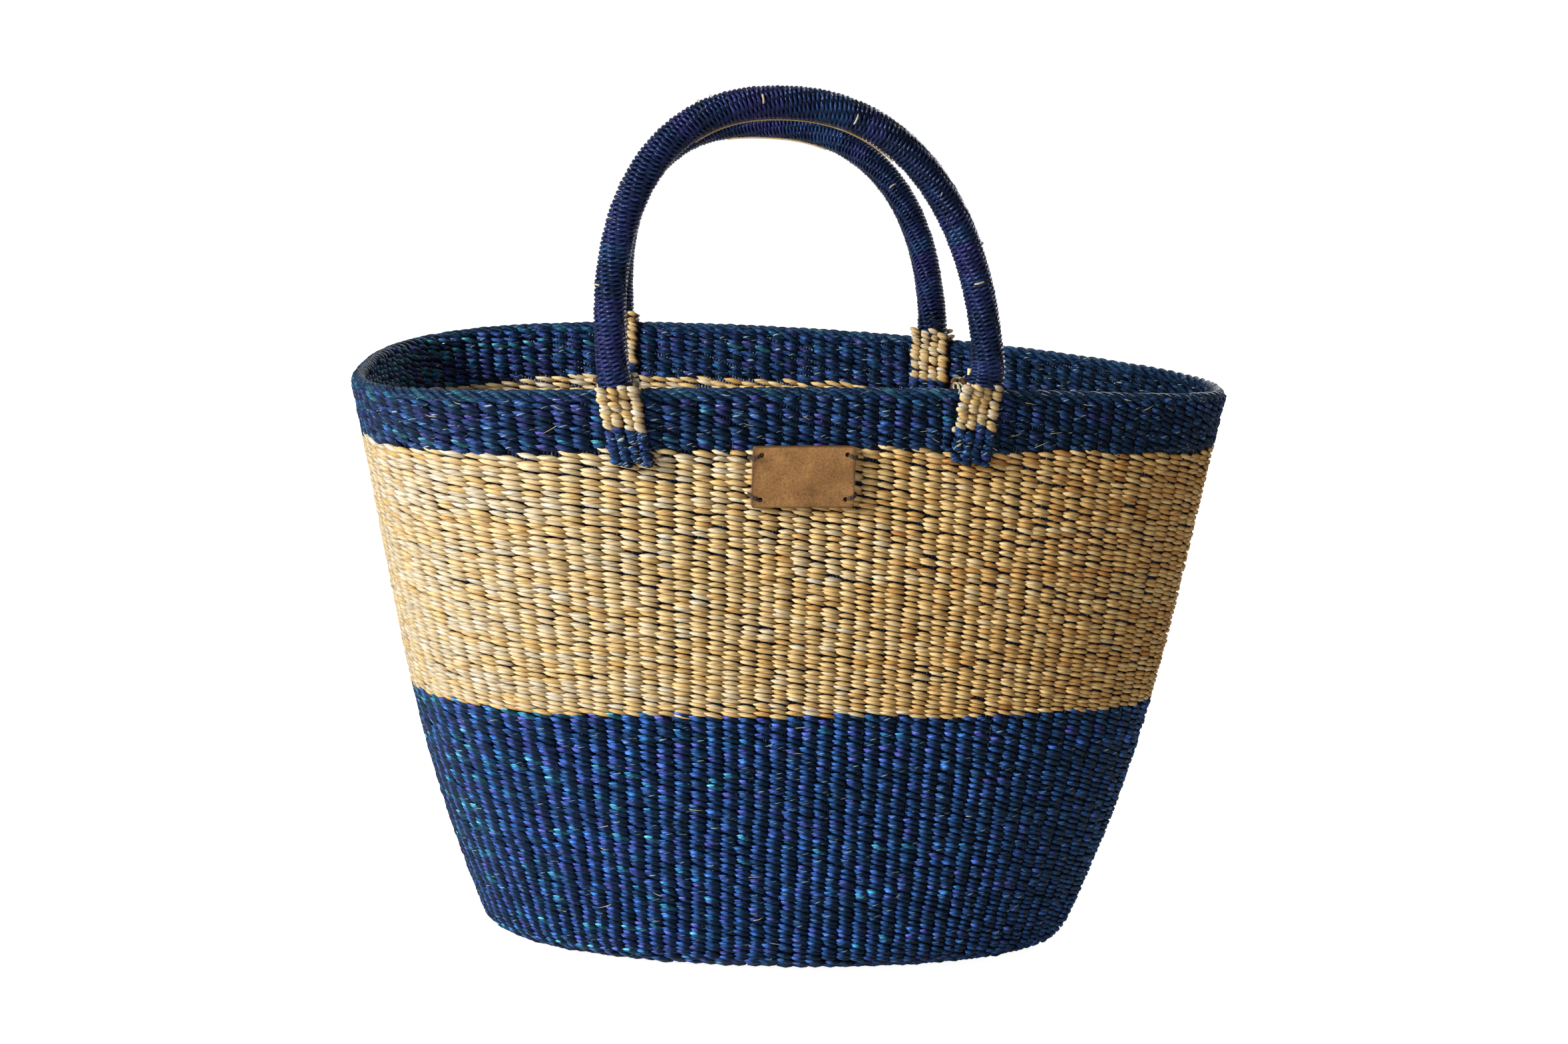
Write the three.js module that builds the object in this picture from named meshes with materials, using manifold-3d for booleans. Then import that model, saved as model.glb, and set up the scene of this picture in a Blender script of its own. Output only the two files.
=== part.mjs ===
// A market basket of twined straw: an oval base, a flaring wall in three bands of colour over
// upright stakes, a plaited rim, and two wrapped handles that swing at their straw roots.
//
// Millimetres and degrees. +Z is up, +X is to the right when the front is seen, the front faces -Y,
// and the origin is the middle of the base, on the surface that the basket stands on.

import * as THREE from 'three';
import { mergeVertices } from 'three/addons/utils/BufferGeometryUtils.js';
import Module from 'manifold-3d';

const wasm = await Module();
wasm.setup();

// Clearances
const gap = 0.3;
const footGap = 0.5;
const wrapClearance = 2;

// The outer face of the wall is an oval at four heights, with one curve through them
const baseHalfWidth = 167;
const baseHalfDepth = 69;
const lowerOvalHeight = 115;
const lowerOvalHalfWidth = 207;
const lowerOvalHalfDepth = 94;
const upperOvalHeight = 230;
const upperOvalHalfWidth = 230.5;
const upperOvalHalfDepth = 114.5;
const rimHeight = 345;
const rimHalfWidth = 250;
const rimHalfDepth = 135;

// An oval with a squareness of 2 is an ellipse, and more makes its corners fuller
const baseSquareness = 1.97;
const rimSquareness = 2.73;

// The mouth has been squeezed at its right end and let out at its left by this share of its depth,
// and the ends of the rim hang this much lower than its middle
const mouthPinch = 0.38;
const rimSag = 11;
const cornerRadius = 18;

// Weave: two faces of weft with the stakes between them
const weftThickness = 2.6;
const stakeThickness = 2.2;
const stakeWidth = 5;
const stakeGather = 34;
const columns = 40;
const cornerSteps = 3;
const lowerBandSteps = 2;
const middleBandSteps = 3;
const lowerBandTop = 159.5;
const upperBandHeight = 33.7;
const rimBorderHeight = 7.2;
const rimBorderChamfer = 2;

// Handles, from foot to foot
const handleRadius = 8.6;
const coreRadius = 5.6;
const ribDepth = 0.9;
const ribs = 54;
const ribsPerBoreRing = 5;
const handleSides = 8;
const frontLeftX = -97;
const frontRightX = 100;
const frontRise = 141;
const frontLean = 3;
const frontShift = -0.125;
const frontSquareness = 2.25;
const backLeftX = -105;
const backRightX = 90;
const backRise = 124;
const backLean = 22;
const backShift = -0.1;
const backSquareness = 2.5;
const inwardSwing = 48;
const outwardSwing = 60;

// A handle's foot is an eye that turns on the knuckle of its root
const eyeRadius = 8.4;
const eyeLength = 13;
const knuckleRadius = 5;
const neckThickness = 3;
const rootWidth = 12;
const roundSides = 16;
const neckOpeningSteps = 8;

// Tabs over the roots, outside and inside the wall
const tabWidth = 23.5;
const tabThickness = 3.5;
const tabHeight = 40.5;
const outerNaturalHeight = 19.5;
const innerNaturalHeight = 25.5;
const lacingWidth = 2.2;
const lacingSpread = 9;
const upperLacingDrop = 13;
const lowerLacingDrop = 38;

// Leather patch on the front and its four ties
const patchWidth = 55;
const patchHeight = 33.5;
const patchX = 3;
const patchTopAboveBand = 3.5;
const patchThickness = 2;
const patchHoleInset = 4.5;
const patchHoleRadius = 1.5;
const tieWidth = 1.3;
const tieReach = 6.5;
const tieFall = 2.5;

const straw = { roughness: 0.8, metalness: 0 };
const navy = new THREE.MeshStandardMaterial({ color: 0x1d2a4a, ...straw });
const natural = new THREE.MeshStandardMaterial({ color: 0xc9a86e, ...straw });
const stakeStraw = new THREE.MeshStandardMaterial({ color: 0x141b30, ...straw });
const leather = new THREE.MeshStandardMaterial({ color: 0x9a6a3c, roughness: 0.55, metalness: 0 });
const thread = new THREE.MeshStandardMaterial({ color: 0x2b2622, roughness: 0.7, metalness: 0 });

// Depths run inwards from the outer face of the wall
const stakeDepth = weftThickness + gap;
const innerWeftDepth = stakeDepth + stakeThickness + gap;
const wallThickness = innerWeftDepth + weftThickness;

// Runs are lengths up the outer face from the edge of the flat base
const radians = THREE.MathUtils.degToRad;
const cornerRun = (cornerRadius * Math.PI) / 2;
const runAt = (height) => cornerRun + height - cornerRadius;
const baseSeamRun = cornerRadius - baseHalfDepth;
const lowerBandRun = runAt(lowerBandTop);
const middleBandRun = runAt(rimHeight - upperBandHeight);
const borderRun = runAt(rimHeight - rimBorderHeight);
const rimRun = runAt(rimHeight);
const tabBottomRun = rimRun - tabHeight;

const spread = (from, to, steps) =>
  Array.from({ length: steps }, (_, step) => from + ((to - from) * (step + 1)) / steps);

const stations = [
  baseSeamRun,
  0,
  ...spread(0, cornerRun, cornerSteps),
  ...spread(cornerRun, lowerBandRun, lowerBandSteps),
  ...spread(lowerBandRun, middleBandRun, middleBandSteps),
  borderRun,
  rimRun,
];

// One curve through the sizes given at the four heights
function through(sizes, height) {
  const heights = [0, lowerOvalHeight, upperOvalHeight, rimHeight];
  return sizes.reduce((sum, size, own) => {
    const share = heights.reduce(
      (product, other, index) =>
        index === own ? product : (product * (height - other)) / (heights[own] - other),
      1,
    );
    return sum + size * share;
  }, 0);
}

// The oval of the outer face at one run, as a point for each angle round it
function ovalAt(run) {
  const bend = THREE.MathUtils.clamp(run / cornerRadius, 0, Math.PI / 2);
  const height = cornerRadius * (1 - Math.cos(bend)) + Math.max(run - cornerRun, 0);
  const inset = cornerRadius * (1 - Math.sin(bend)) + Math.max(-run, 0);
  const share = height / rimHeight;
  const widths = [baseHalfWidth, lowerOvalHalfWidth, upperOvalHalfWidth, rimHalfWidth];
  const depths = [baseHalfDepth, lowerOvalHalfDepth, upperOvalHalfDepth, rimHalfDepth];
  const halfWidth = through(widths, height) - inset;
  const halfDepth = through(depths, height) - inset;
  const power = 2 / (baseSquareness + (rimSquareness - baseSquareness) * share);
  return (angle) => {
    const c = Math.cos(angle);
    const s = Math.sin(angle);
    const across = Math.sign(c) * Math.abs(c) ** power;
    const back = Math.sign(s) * Math.abs(s) ** power;
    return new THREE.Vector3(
      halfWidth * across,
      halfDepth * back * (1 - mouthPinch * share * across),
      height + rimSag * share * (0.5 - across ** 2),
    );
  };
}

// The same oval walked at an even pace: share 0 is the right end, 0.5 the left, 0.75 the front
const pacedOvals = new Map();
function pacedOval(run) {
  if (!pacedOvals.has(run)) {
    const at = ovalAt(run);
    const samples = 1440;
    const points = Array.from({ length: samples + 1 }, (_, i) => at((i / samples) * 2 * Math.PI));
    const lengths = [0];
    for (let i = 1; i <= samples; i += 1) {
      lengths.push(lengths[i - 1] + points[i].distanceTo(points[i - 1]));
    }
    pacedOvals.set(run, { points, lengths });
  }
  return pacedOvals.get(run);
}

function shellPoint(share, run) {
  const { points, lengths } = pacedOval(run);
  const target = THREE.MathUtils.euclideanModulo(share, 1) * lengths.at(-1);
  let low = 0;
  let high = lengths.length - 1;
  while (high - low > 1) {
    const middle = (low + high) >> 1;
    if (lengths[middle] > target) high = middle;
    else low = middle;
  }
  const part = (target - lengths[low]) / (lengths[high] - lengths[low] || 1);
  return points[low].clone().lerp(points[high], part);
}

function shellNormal(share, run) {
  if (run <= 0) return new THREE.Vector3(0, 0, -1);
  const stepShare = 0.004;
  const stepRun = 0.5;
  const around = shellPoint(share + stepShare, run).sub(shellPoint(share - stepShare, run));
  const upwards = shellPoint(share, run + stepRun).sub(shellPoint(share, run - stepRun));
  return around.cross(upwards).normalize();
}

// The wall is faceted: its corners lie on the columns and stations, and everything on it or in it
// is placed on the same facets
const corners = new Map();
function cornerPoint(column, station, depth) {
  const key = `${column} ${station} ${depth}`;
  if (!corners.has(key)) {
    const share = column / columns;
    const inwards = shellNormal(share, stations[station]).multiplyScalar(-depth);
    corners.set(key, shellPoint(share, stations[station]).add(inwards));
  }
  return corners.get(key);
}

// A point on the facets, each of which is split from its lower left to its upper right corner
function wallPoint(column, run, depth) {
  const above = stations.findIndex((station) => station > run);
  const top = above < 1 ? stations.length - 1 : above;
  const left = Math.floor(column);
  const across = column - left;
  const upwards = (run - stations[top - 1]) / (stations[top] - stations[top - 1]);
  const lowLeft = cornerPoint(left % columns, top - 1, depth);
  const lowRight = cornerPoint((left + 1) % columns, top - 1, depth);
  const highLeft = cornerPoint(left % columns, top, depth);
  const highRight = cornerPoint((left + 1) % columns, top, depth);
  const start = lowLeft.clone();
  if (across > upwards) {
    start.addScaledVector(lowRight.clone().sub(lowLeft), across);
    return start.addScaledVector(highRight.clone().sub(lowRight), upwards);
  }
  start.addScaledVector(highLeft.clone().sub(lowLeft), upwards);
  return start.addScaledVector(highRight.clone().sub(highLeft), across);
}

// The column that passes through x at a run, on the front or, with side 1, on the back
function columnAt(x, run, side) {
  let low = columns / 2;
  let high = columns;
  for (let halving = 0; halving < 40; halving += 1) {
    const middle = (low + high) / 2;
    if (wallPoint(middle, run, 0).x < x) low = middle;
    else high = middle;
  }
  return side < 0 ? low : columns - low;
}

const frontColumn = Math.round(0.75 * columns);
const columnPitch = (run) =>
  wallPoint(frontColumn, run, 0).distanceTo(wallPoint(frontColumn + 1, run, 0));

const rowsBetween = (from, to) => [from, ...stations.filter((s) => s > from + gap && s < to - gap), to];

function columnsBetween(from, to) {
  const whole = [];
  for (let column = Math.floor(from) + 1; column < to; column += 1) whole.push(column);
  return [from, ...whole, to];
}

// Closed meshes from quads, each given as four points in turn seen from outside
function fromQuads(quads) {
  const points = quads.flatMap(([a, b, c, d]) => [a, b, c, a, c, d]);
  const merged = mergeVertices(new THREE.BufferGeometry().setFromPoints(points), 1e-3);
  const index = Array.from(merged.index.array);
  const kept = [];
  for (let i = 0; i < index.length; i += 3) {
    const [a, b, c] = index.slice(i, i + 3);
    if (a !== b && b !== c && c !== a) kept.push(a, b, c);
  }
  merged.setIndex(kept);
  return merged;
}

// A sheet that lies on the wall's facets between two depths. It closes on itself all round, or
// has two upright edges, and in the base its front and back meet at the seam.
function sheet(columnList, runs, near, far, around) {
  const at = (c, r, depth) => wallPoint(columnList[c], runs[r], depth);
  const columnSteps = columnList.length - 1;
  const lastRow = runs.length - 1;
  const quads = [];
  for (let c = 0; c < columnSteps; c += 1) {
    for (let r = 0; r < lastRow; r += 1) {
      quads.push([at(c, r, near), at(c + 1, r, near), at(c + 1, r + 1, near), at(c, r + 1, near)]);
      quads.push([at(c, r, far), at(c, r + 1, far), at(c + 1, r + 1, far), at(c + 1, r, far)]);
    }
    if (runs[0] > baseSeamRun) {
      quads.push([at(c, 0, near), at(c, 0, far), at(c + 1, 0, far), at(c + 1, 0, near)]);
    }
    quads.push([
      at(c, lastRow, near),
      at(c + 1, lastRow, near),
      at(c + 1, lastRow, far),
      at(c, lastRow, far),
    ]);
  }
  if (!around) {
    for (let r = 0; r < lastRow; r += 1) {
      quads.push([at(0, r, near), at(0, r + 1, near), at(0, r + 1, far), at(0, r, far)]);
      quads.push([
        at(columnSteps, r, near),
        at(columnSteps, r, far),
        at(columnSteps, r + 1, far),
        at(columnSteps, r + 1, near),
      ]);
    }
  }
  return fromQuads(quads);
}

const allColumns = columnsBetween(0, columns);
const band = (from, to, near) =>
  sheet(allColumns, rowsBetween(from, to), near, near + weftThickness, true);

// A solid through a row of rings with equal counts of points: capped at both ends, or, as a loop,
// joined from the last ring to the first
function throughRings(rings, loop) {
  const quads = [];
  const steps = loop ? rings.length : rings.length - 1;
  for (let r = 0; r < steps; r += 1) {
    const ring = rings[r];
    const next = rings[(r + 1) % rings.length];
    ring.forEach((point, i) => {
      const j = (i + 1) % ring.length;
      quads.push([point, ring[j], next[j], next[i]]);
    });
  }
  if (!loop) {
    const first = rings[0];
    const last = rings.at(-1);
    for (let i = 1; i < first.length - 1; i += 1) {
      quads.push([first[0], first[i + 1], first[i], first[i]]);
      quads.push([last[0], last[i], last[i + 1], last[i + 1]]);
    }
  }
  return fromQuads(quads);
}

// Booleans
function toSolid(geometry) {
  const bare = new THREE.BufferGeometry();
  bare.setAttribute('position', geometry.getAttribute('position'));
  bare.setIndex(geometry.index);
  const merged = mergeVertices(bare, 1e-3);
  return new wasm.Manifold(
    new wasm.Mesh({
      numProp: 3,
      vertProperties: new Float32Array(merged.getAttribute('position').array),
      triVerts: new Uint32Array(merged.index.array),
    }),
  );
}

function toGeometry(solid) {
  const mesh = solid.getMesh();
  const geometry = new THREE.BufferGeometry();
  geometry.setAttribute('position', new THREE.BufferAttribute(mesh.vertProperties, 3));
  geometry.setIndex(new THREE.BufferAttribute(mesh.triVerts, 1));
  return geometry;
}

const cut = (geometry, cutters) =>
  toGeometry(cutters.reduce((solid, cutter) => solid.subtract(toSolid(cutter)), toSolid(geometry)));

const join = (...geometries) =>
  toGeometry(geometries.slice(1).reduce((solid, more) => solid.add(toSolid(more)), toSolid(geometries[0])));

function place(geometry, origin, xAxis, yAxis) {
  const zAxis = xAxis.clone().cross(yAxis);
  return geometry.applyMatrix4(new THREE.Matrix4().makeBasis(xAxis, yAxis, zAxis).setPosition(origin));
}

// The wall at one spot: x goes round to the right as the outside is seen, y is up, z is outwards
function wallFrame(column, run) {
  const origin = wallPoint(column, run, 0);
  const across = wallPoint(column + 0.2, run, 0).sub(wallPoint(column - 0.2, run, 0)).normalize();
  const upwards = wallPoint(column, run + 1, 0).sub(wallPoint(column, run - 1, 0)).normalize();
  const outwards = across.clone().cross(upwards).normalize();
  return { origin, across, upwards: outwards.clone().cross(across) };
}

// Handles
const frontHandle = {
  side: -1,
  leftX: frontLeftX,
  rightX: frontRightX,
  rise: frontRise,
  lean: frontLean,
  shift: frontShift,
  squareness: frontSquareness,
};
const backHandle = {
  side: 1,
  leftX: backLeftX,
  rightX: backRightX,
  rise: backRise,
  lean: backLean,
  shift: backShift,
  squareness: backSquareness,
};

const feetOf = (handle) => [
  { handle, name: 'left', column: columnAt(handle.leftX, rimRun, handle.side) },
  { handle, name: 'right', column: columnAt(handle.rightX, rimRun, handle.side) },
];
const frontFeet = feetOf(frontHandle);
const backFeet = feetOf(backHandle);
const feet = [...frontFeet, ...backFeet];

const hingePoint = (foot) =>
  wallPoint(foot.column, rimRun, wallThickness / 2).add(new THREE.Vector3(0, 0, eyeRadius + footGap));

// The directions of a handle: along its hinge from left to right, upright, and out of the basket
function hingeFrame(handle) {
  const [left, right] = feetOf(handle).map(hingePoint);
  const along = right.clone().sub(left).normalize();
  const upright = new THREE.Vector3(0, 0, 1).projectOnPlane(along).normalize();
  const outwards = along.clone().cross(upright).multiplyScalar(-handle.side);
  return { left, right, along, upright, outwards };
}

// The middle line of a handle, from hinge to hinge
class HandleArch extends THREE.Curve {
  constructor(handle) {
    super();
    const frame = hingeFrame(handle);
    const lean = radians(handle.lean);
    this.along = frame.along;
    this.upwards = frame.upright
      .clone()
      .multiplyScalar(Math.cos(lean))
      .addScaledVector(frame.outwards, Math.sin(lean));
    this.middle = frame.left.clone().lerp(frame.right, 0.5);
    this.halfSpan = frame.left.distanceTo(frame.right) / 2;
    this.rise = handle.rise;
    this.shift = handle.shift;
    this.power = 2 / handle.squareness;
    this.arcLengthDivisions = 2000;
  }

  getPoint(t, target = new THREE.Vector3()) {
    const angle = Math.PI * t;
    const c = -Math.cos(angle);
    const across = Math.sign(c) * Math.abs(c) ** this.power * this.halfSpan;
    const up = Math.max(Math.sin(angle), 0) ** this.power * this.rise;
    return target
      .copy(this.middle)
      .addScaledVector(this.along, across + this.shift * up)
      .addScaledVector(this.upwards, up);
  }
}

function ringOn(arch, distance, radius) {
  const length = arch.getLength();
  const share = THREE.MathUtils.clamp(distance / length, 0, 1);
  const centre = arch.getPointAt(share);
  const tangent = arch.getTangentAt(THREE.MathUtils.clamp(share, 0.001, 0.999));
  const normal = arch.along.clone().cross(arch.upwards);
  const binormal = tangent.clone().cross(normal);
  return Array.from({ length: handleSides }, (_, i) => {
    const angle = ((i + 0.5) * 2 * Math.PI) / handleSides;
    return centre
      .clone()
      .addScaledVector(normal, radius * Math.cos(angle))
      .addScaledVector(binormal, radius * Math.sin(angle));
  });
}

// Where the wrap's ribs begin and end along the arch, and where its bore has a ring
function wrapStations(arch) {
  const start = eyeRadius + wrapClearance;
  const pitch = (arch.getLength() - 2 * start) / ribs;
  const starts = Array.from({ length: ribs + 1 }, (_, rib) => start + rib * pitch);
  const boreRings = starts.filter((_, rib) => rib % ribsPerBoreRing === 0 || rib === ribs);
  return { starts, pitch, boreRings };
}

function handleWrap(arch) {
  const { starts, pitch, boreRings } = wrapStations(arch);
  const outside = starts.flatMap((start, rib) => {
    const groove = ringOn(arch, start, handleRadius - ribDepth);
    return rib < ribs ? [groove, ringOn(arch, start + pitch / 2, handleRadius)] : [groove];
  });
  const boreRadius = coreRadius + gap / Math.cos(Math.PI / handleSides);
  const bore = boreRings.map((distance) => ringOn(arch, distance, boreRadius));
  return throughRings([...outside, ...bore.reverse()], true);
}

function alongHinge(frame, geometry, centre) {
  return place(geometry, centre, frame.outwards, frame.along);
}

const rod = (radius, length) => new THREE.CylinderGeometry(radius, radius, length, roundSides);

// The opening in an eye through which the root's neck passes as the handle swings
function neckOpening(handle, centre) {
  const frame = hingeFrame(handle);
  const lean = radians(handle.lean);
  const neckAngle = Math.asin((neckThickness / 2 + gap) / (knuckleRadius + gap));
  const outer = 2 * eyeRadius;
  const toOutside = radians(outwardSwing) - lean + neckAngle;
  const toInside = radians(inwardSwing) + lean + neckAngle;
  const sector = new THREE.Shape();
  sector.moveTo(0, 0);
  for (let step = 0; step <= neckOpeningSteps; step += 1) {
    const angle = toOutside - (step / neckOpeningSteps) * (toOutside + toInside);
    sector.lineTo(outer * Math.sin(angle), -outer * Math.cos(angle));
  }
  const length = 2 * eyeLength;
  const wedge = new THREE.ExtrudeGeometry(sector, { depth: length, bevelEnabled: false });
  wedge.translate(0, 0, -length / 2);
  return place(wedge, centre, frame.outwards, frame.upright);
}

function handleCore(handle, arch) {
  const frame = hingeFrame(handle);
  const { boreRings } = wrapStations(arch);
  const distances = [0, ...boreRings, arch.getLength()];
  const middle = throughRings(distances.map((distance) => ringOn(arch, distance, coreRadius)), false);
  const ends = [frame.left, frame.right];
  const eyes = ends.map((centre) => alongHinge(frame, rod(eyeRadius, eyeLength), centre));
  const seats = ends.flatMap((centre) => [
    alongHinge(frame, rod(knuckleRadius + gap, 2 * eyeLength), centre),
    neckOpening(handle, centre),
  ]);
  return cut(join(middle, ...eyes), seats);
}

// A root: a tongue between the two faces of weft, a neck through the rim and a knuckle on top.
// With a margin all round it is the room that the rim border leaves for it.
function root(foot, margin = 0) {
  const frame = hingeFrame(foot.handle);
  const centre = hingePoint(foot);
  const half = (rootWidth / 2 + margin) / columnPitch(rimRun);
  const tongue = sheet(
    columnsBetween(foot.column - half, foot.column + half),
    rowsBetween(tabBottomRun, rimRun),
    stakeDepth - margin,
    stakeDepth + stakeThickness + margin,
    false,
  );
  const drop = eyeRadius + footGap + rimBorderHeight / 2;
  const neck = new THREE.BoxGeometry(neckThickness + 2 * margin, drop, rootWidth + 2 * margin);
  neck.translate(0, -drop / 2, 0);
  place(neck, centre, frame.outwards.clone().setZ(0).normalize(), new THREE.Vector3(0, 0, 1));
  const knuckle = alongHinge(frame, rod(knuckleRadius + margin, eyeLength), centre);
  return join(tongue, neck, knuckle);
}

// Lacing: a loop of straw through the wall and both tabs, with a leg on each side of the root
const tabReach = gap + tabThickness;
const lacingReach = tabReach + gap + lacingWidth;
const lacings = feet.flatMap((foot) =>
  [['upper', upperLacingDrop], ['lower', lowerLacingDrop]].map(([place, drop]) => ({
    foot,
    place,
    frame: wallFrame(foot.column, rimRun - drop),
  })),
);

function lacingLoop({ frame }) {
  const half = lacingSpread + lacingWidth / 2;
  const rectangle = (shape, grow) => {
    const outside = tabReach + gap + grow;
    const inside = -wallThickness - tabReach - gap - grow;
    const side = half - lacingWidth + grow;
    shape.moveTo(-side, inside);
    shape.lineTo(side, inside);
    shape.lineTo(side, outside);
    shape.lineTo(-side, outside);
    shape.closePath();
    return shape;
  };
  const outline = rectangle(new THREE.Shape(), lacingWidth);
  outline.holes.push(rectangle(new THREE.Path(), 0));
  const loop = new THREE.ExtrudeGeometry(outline, { depth: lacingWidth, bevelEnabled: false });
  loop.translate(0, 0, -lacingWidth / 2);
  const outwards = frame.across.clone().cross(frame.upwards);
  return place(loop, frame.origin, frame.across, outwards);
}

function lacingHoles({ frame }) {
  const across = lacingWidth + 2 * gap;
  const through = wallThickness + 2 * lacingReach;
  return [-lacingSpread, lacingSpread].map((offset) => {
    const hole = new THREE.BoxGeometry(across, across, through);
    hole.translate(offset, 0, -wallThickness / 2);
    return place(hole, frame.origin, frame.across, frame.upwards);
  });
}

const holesAt = (foot) => lacings.filter((lacing) => lacing.foot === foot).flatMap(lacingHoles);
const allLacingHoles = lacings.flatMap(lacingHoles);

function tab(foot, from, to, near) {
  const half = tabWidth / 2 / columnPitch(rimRun);
  const columnList = columnsBetween(foot.column - half, foot.column + half);
  const strip = sheet(columnList, rowsBetween(from, to), near, near + tabThickness, false);
  return cut(strip, holesAt(foot));
}

// Stakes, of a pointed section with its two edges sideways, each on a corner line of the wall
function stakeSection(column, run, clockwise) {
  const half = (clockwise * stakeWidth) / 2 / columnPitch(run);
  const middle = stakeDepth + stakeThickness / 2;
  return [
    wallPoint(column, run, stakeDepth),
    wallPoint(column + columns - half, run, middle),
    wallPoint(column, run, stakeDepth + stakeThickness),
    wallPoint(column + half, run, middle),
  ];
}

const stakeTop = (column) => {
  const reach = (tabWidth + stakeWidth) / 2 / columnPitch(rimRun);
  const underTab = feet.some((foot) => Math.abs(foot.column - column) < reach);
  return (underTab ? tabBottomRun : borderRun) - gap;
};

const stakeRows = (column, bottom) => rowsBetween(bottom, stakeTop(column));

// The stakes of the long sides cross the base, and those of the two ends gather at a spine, which
// lies along the base and ties them all into one frame
function stakeFrame() {
  const flatHalfWidth = baseHalfWidth - cornerRadius;
  const spineHalf = flatHalfWidth - stakeGather;
  const spineAt = (x) => new THREE.Vector3(x, 0, stakeDepth + stakeThickness / 2);
  const spine = new THREE.BoxGeometry(2 * spineHalf + stakeWidth, 2 * stakeWidth, stakeThickness);
  spine.translate(...spineAt(0));
  const solids = [spine];
  for (let column = 0; column < columns; column += 1) {
    const down = stakeRows(column, 0).reverse().map((run) => stakeSection(column, run, 1));
    const foot = down.at(-1);
    const edge = foot[0].clone().lerp(foot[2], 0.5);
    if (Math.abs(edge.x) > spineHalf) {
      const inwards = spineAt(Math.sign(edge.x) * spineHalf).sub(edge);
      const gathered = foot.map((point) => point.clone().add(inwards));
      solids.push(throughRings([...down, gathered], false));
    } else if (column > columns / 2) {
      const facing = columns - column;
      const up = stakeRows(facing, 0).map((run) => stakeSection(facing, run, -1));
      solids.push(throughRings([...down, ...up], false));
    }
  }
  return join(...solids);
}

// The rim border has its two upper edges taken off
function rimBorder() {
  const section = [
    [borderRun, 0],
    [rimRun - rimBorderChamfer, 0],
    [rimRun, rimBorderChamfer],
    [rimRun, wallThickness - rimBorderChamfer],
    [rimRun - rimBorderChamfer, wallThickness],
    [borderRun, wallThickness],
  ];
  const rings = Array.from({ length: columns }, (_, column) =>
    section.map(([run, depth]) => wallPoint(column, run, depth)).reverse(),
  );
  return cut(throughRings(rings, true), feet.map((foot) => root(foot, gap)));
}

// Leather patch
const patchTopRun = middleBandRun + patchTopAboveBand;
const patchBottomRun = patchTopRun - patchHeight;
const patchMiddleRun = (patchTopRun + patchBottomRun) / 2;
const patchColumn = columnAt(patchX, patchMiddleRun, -1);
const patchHalf = patchWidth / 2 / columnPitch(patchMiddleRun);
const patchCorners = [-1, 1].flatMap((toRight) =>
  [-1, 1].map((toTop) => ({
    toRight,
    toTop,
    frame: wallFrame(
      patchColumn + toRight * (patchHalf - patchHoleInset / columnPitch(patchMiddleRun)),
      toTop > 0 ? patchTopRun - patchHoleInset : patchBottomRun + patchHoleInset,
    ),
  })),
);

// A tie comes out of the patch's hole, runs over its side edge, towards the patch's middle height,
// and goes into the weft
function tie({ toRight, toTop, frame }, margin = 0) {
  const heading = frame.across
    .clone()
    .multiplyScalar(toRight * tieReach)
    .addScaledVector(frame.upwards, -toTop * tieFall);
  const reach = heading.length();
  const outwards = frame.across.clone().cross(frame.upwards);
  const face = gap + patchThickness + gap;
  const half = tieWidth / 2;
  const outline = new THREE.Shape();
  [
    [-half - margin, -weftThickness],
    [half + margin, -weftThickness],
    [half + margin, face],
    [reach - half - margin, face],
    [reach - half - margin, -weftThickness],
    [reach + half + margin, -weftThickness],
    [reach + half + margin, face + tieWidth],
    [-half - margin, face + tieWidth],
  ].forEach(([x, y], i) => (i ? outline.lineTo(x, y) : outline.moveTo(x, y)));
  const width = tieWidth + 2 * margin;
  const strip = new THREE.ExtrudeGeometry(outline, { depth: width, bevelEnabled: false });
  strip.translate(0, 0, -width / 2);
  return place(strip, frame.origin, heading.normalize(), outwards);
}

function patchHole({ frame }) {
  const hole = new THREE.CylinderGeometry(patchHoleRadius, patchHoleRadius, 4 * patchThickness, 8);
  return place(hole, frame.origin, frame.across, frame.across.clone().cross(frame.upwards));
}

function patch() {
  const columnList = columnsBetween(patchColumn - patchHalf, patchColumn + patchHalf);
  const rows = rowsBetween(patchBottomRun, patchTopRun);
  const piece = sheet(columnList, rows, -gap - patchThickness, -gap, false);
  return cut(piece, patchCorners.map(patchHole));
}

const tieHoles = patchCorners.map((corner) => tie(corner, gap));

// The scene
const bag = new THREE.Group();

function add(parent, name, geometry, material) {
  const mesh = new THREE.Mesh(geometry, material);
  mesh.name = name;
  parent.add(mesh);
}

const basket = new THREE.Group();
bag.add(basket);
const bandHoles = [...allLacingHoles, ...tieHoles];
add(basket, 'base_outer_weft', band(baseSeamRun, cornerRun - gap, 0), navy);
add(basket, 'base_inner_weft', band(baseSeamRun, cornerRun - gap, innerWeftDepth), navy);
add(basket, 'lower_outer_weft', band(cornerRun, lowerBandRun - gap, 0), navy);
add(basket, 'lower_inner_weft', band(cornerRun, lowerBandRun - gap, innerWeftDepth), navy);
add(basket, 'middle_outer_weft', cut(band(lowerBandRun, middleBandRun - gap, 0), bandHoles), natural);
add(
  basket,
  'middle_inner_weft',
  cut(band(lowerBandRun, middleBandRun - gap, innerWeftDepth), allLacingHoles),
  natural,
);
add(basket, 'upper_outer_weft', cut(band(middleBandRun, borderRun - gap, 0), bandHoles), navy);
add(
  basket,
  'upper_inner_weft',
  cut(band(middleBandRun, borderRun - gap, innerWeftDepth), allLacingHoles),
  navy,
);
add(basket, 'stake_frame', stakeFrame(), stakeStraw);
add(basket, 'rim_border', rimBorder(), navy);

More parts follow.
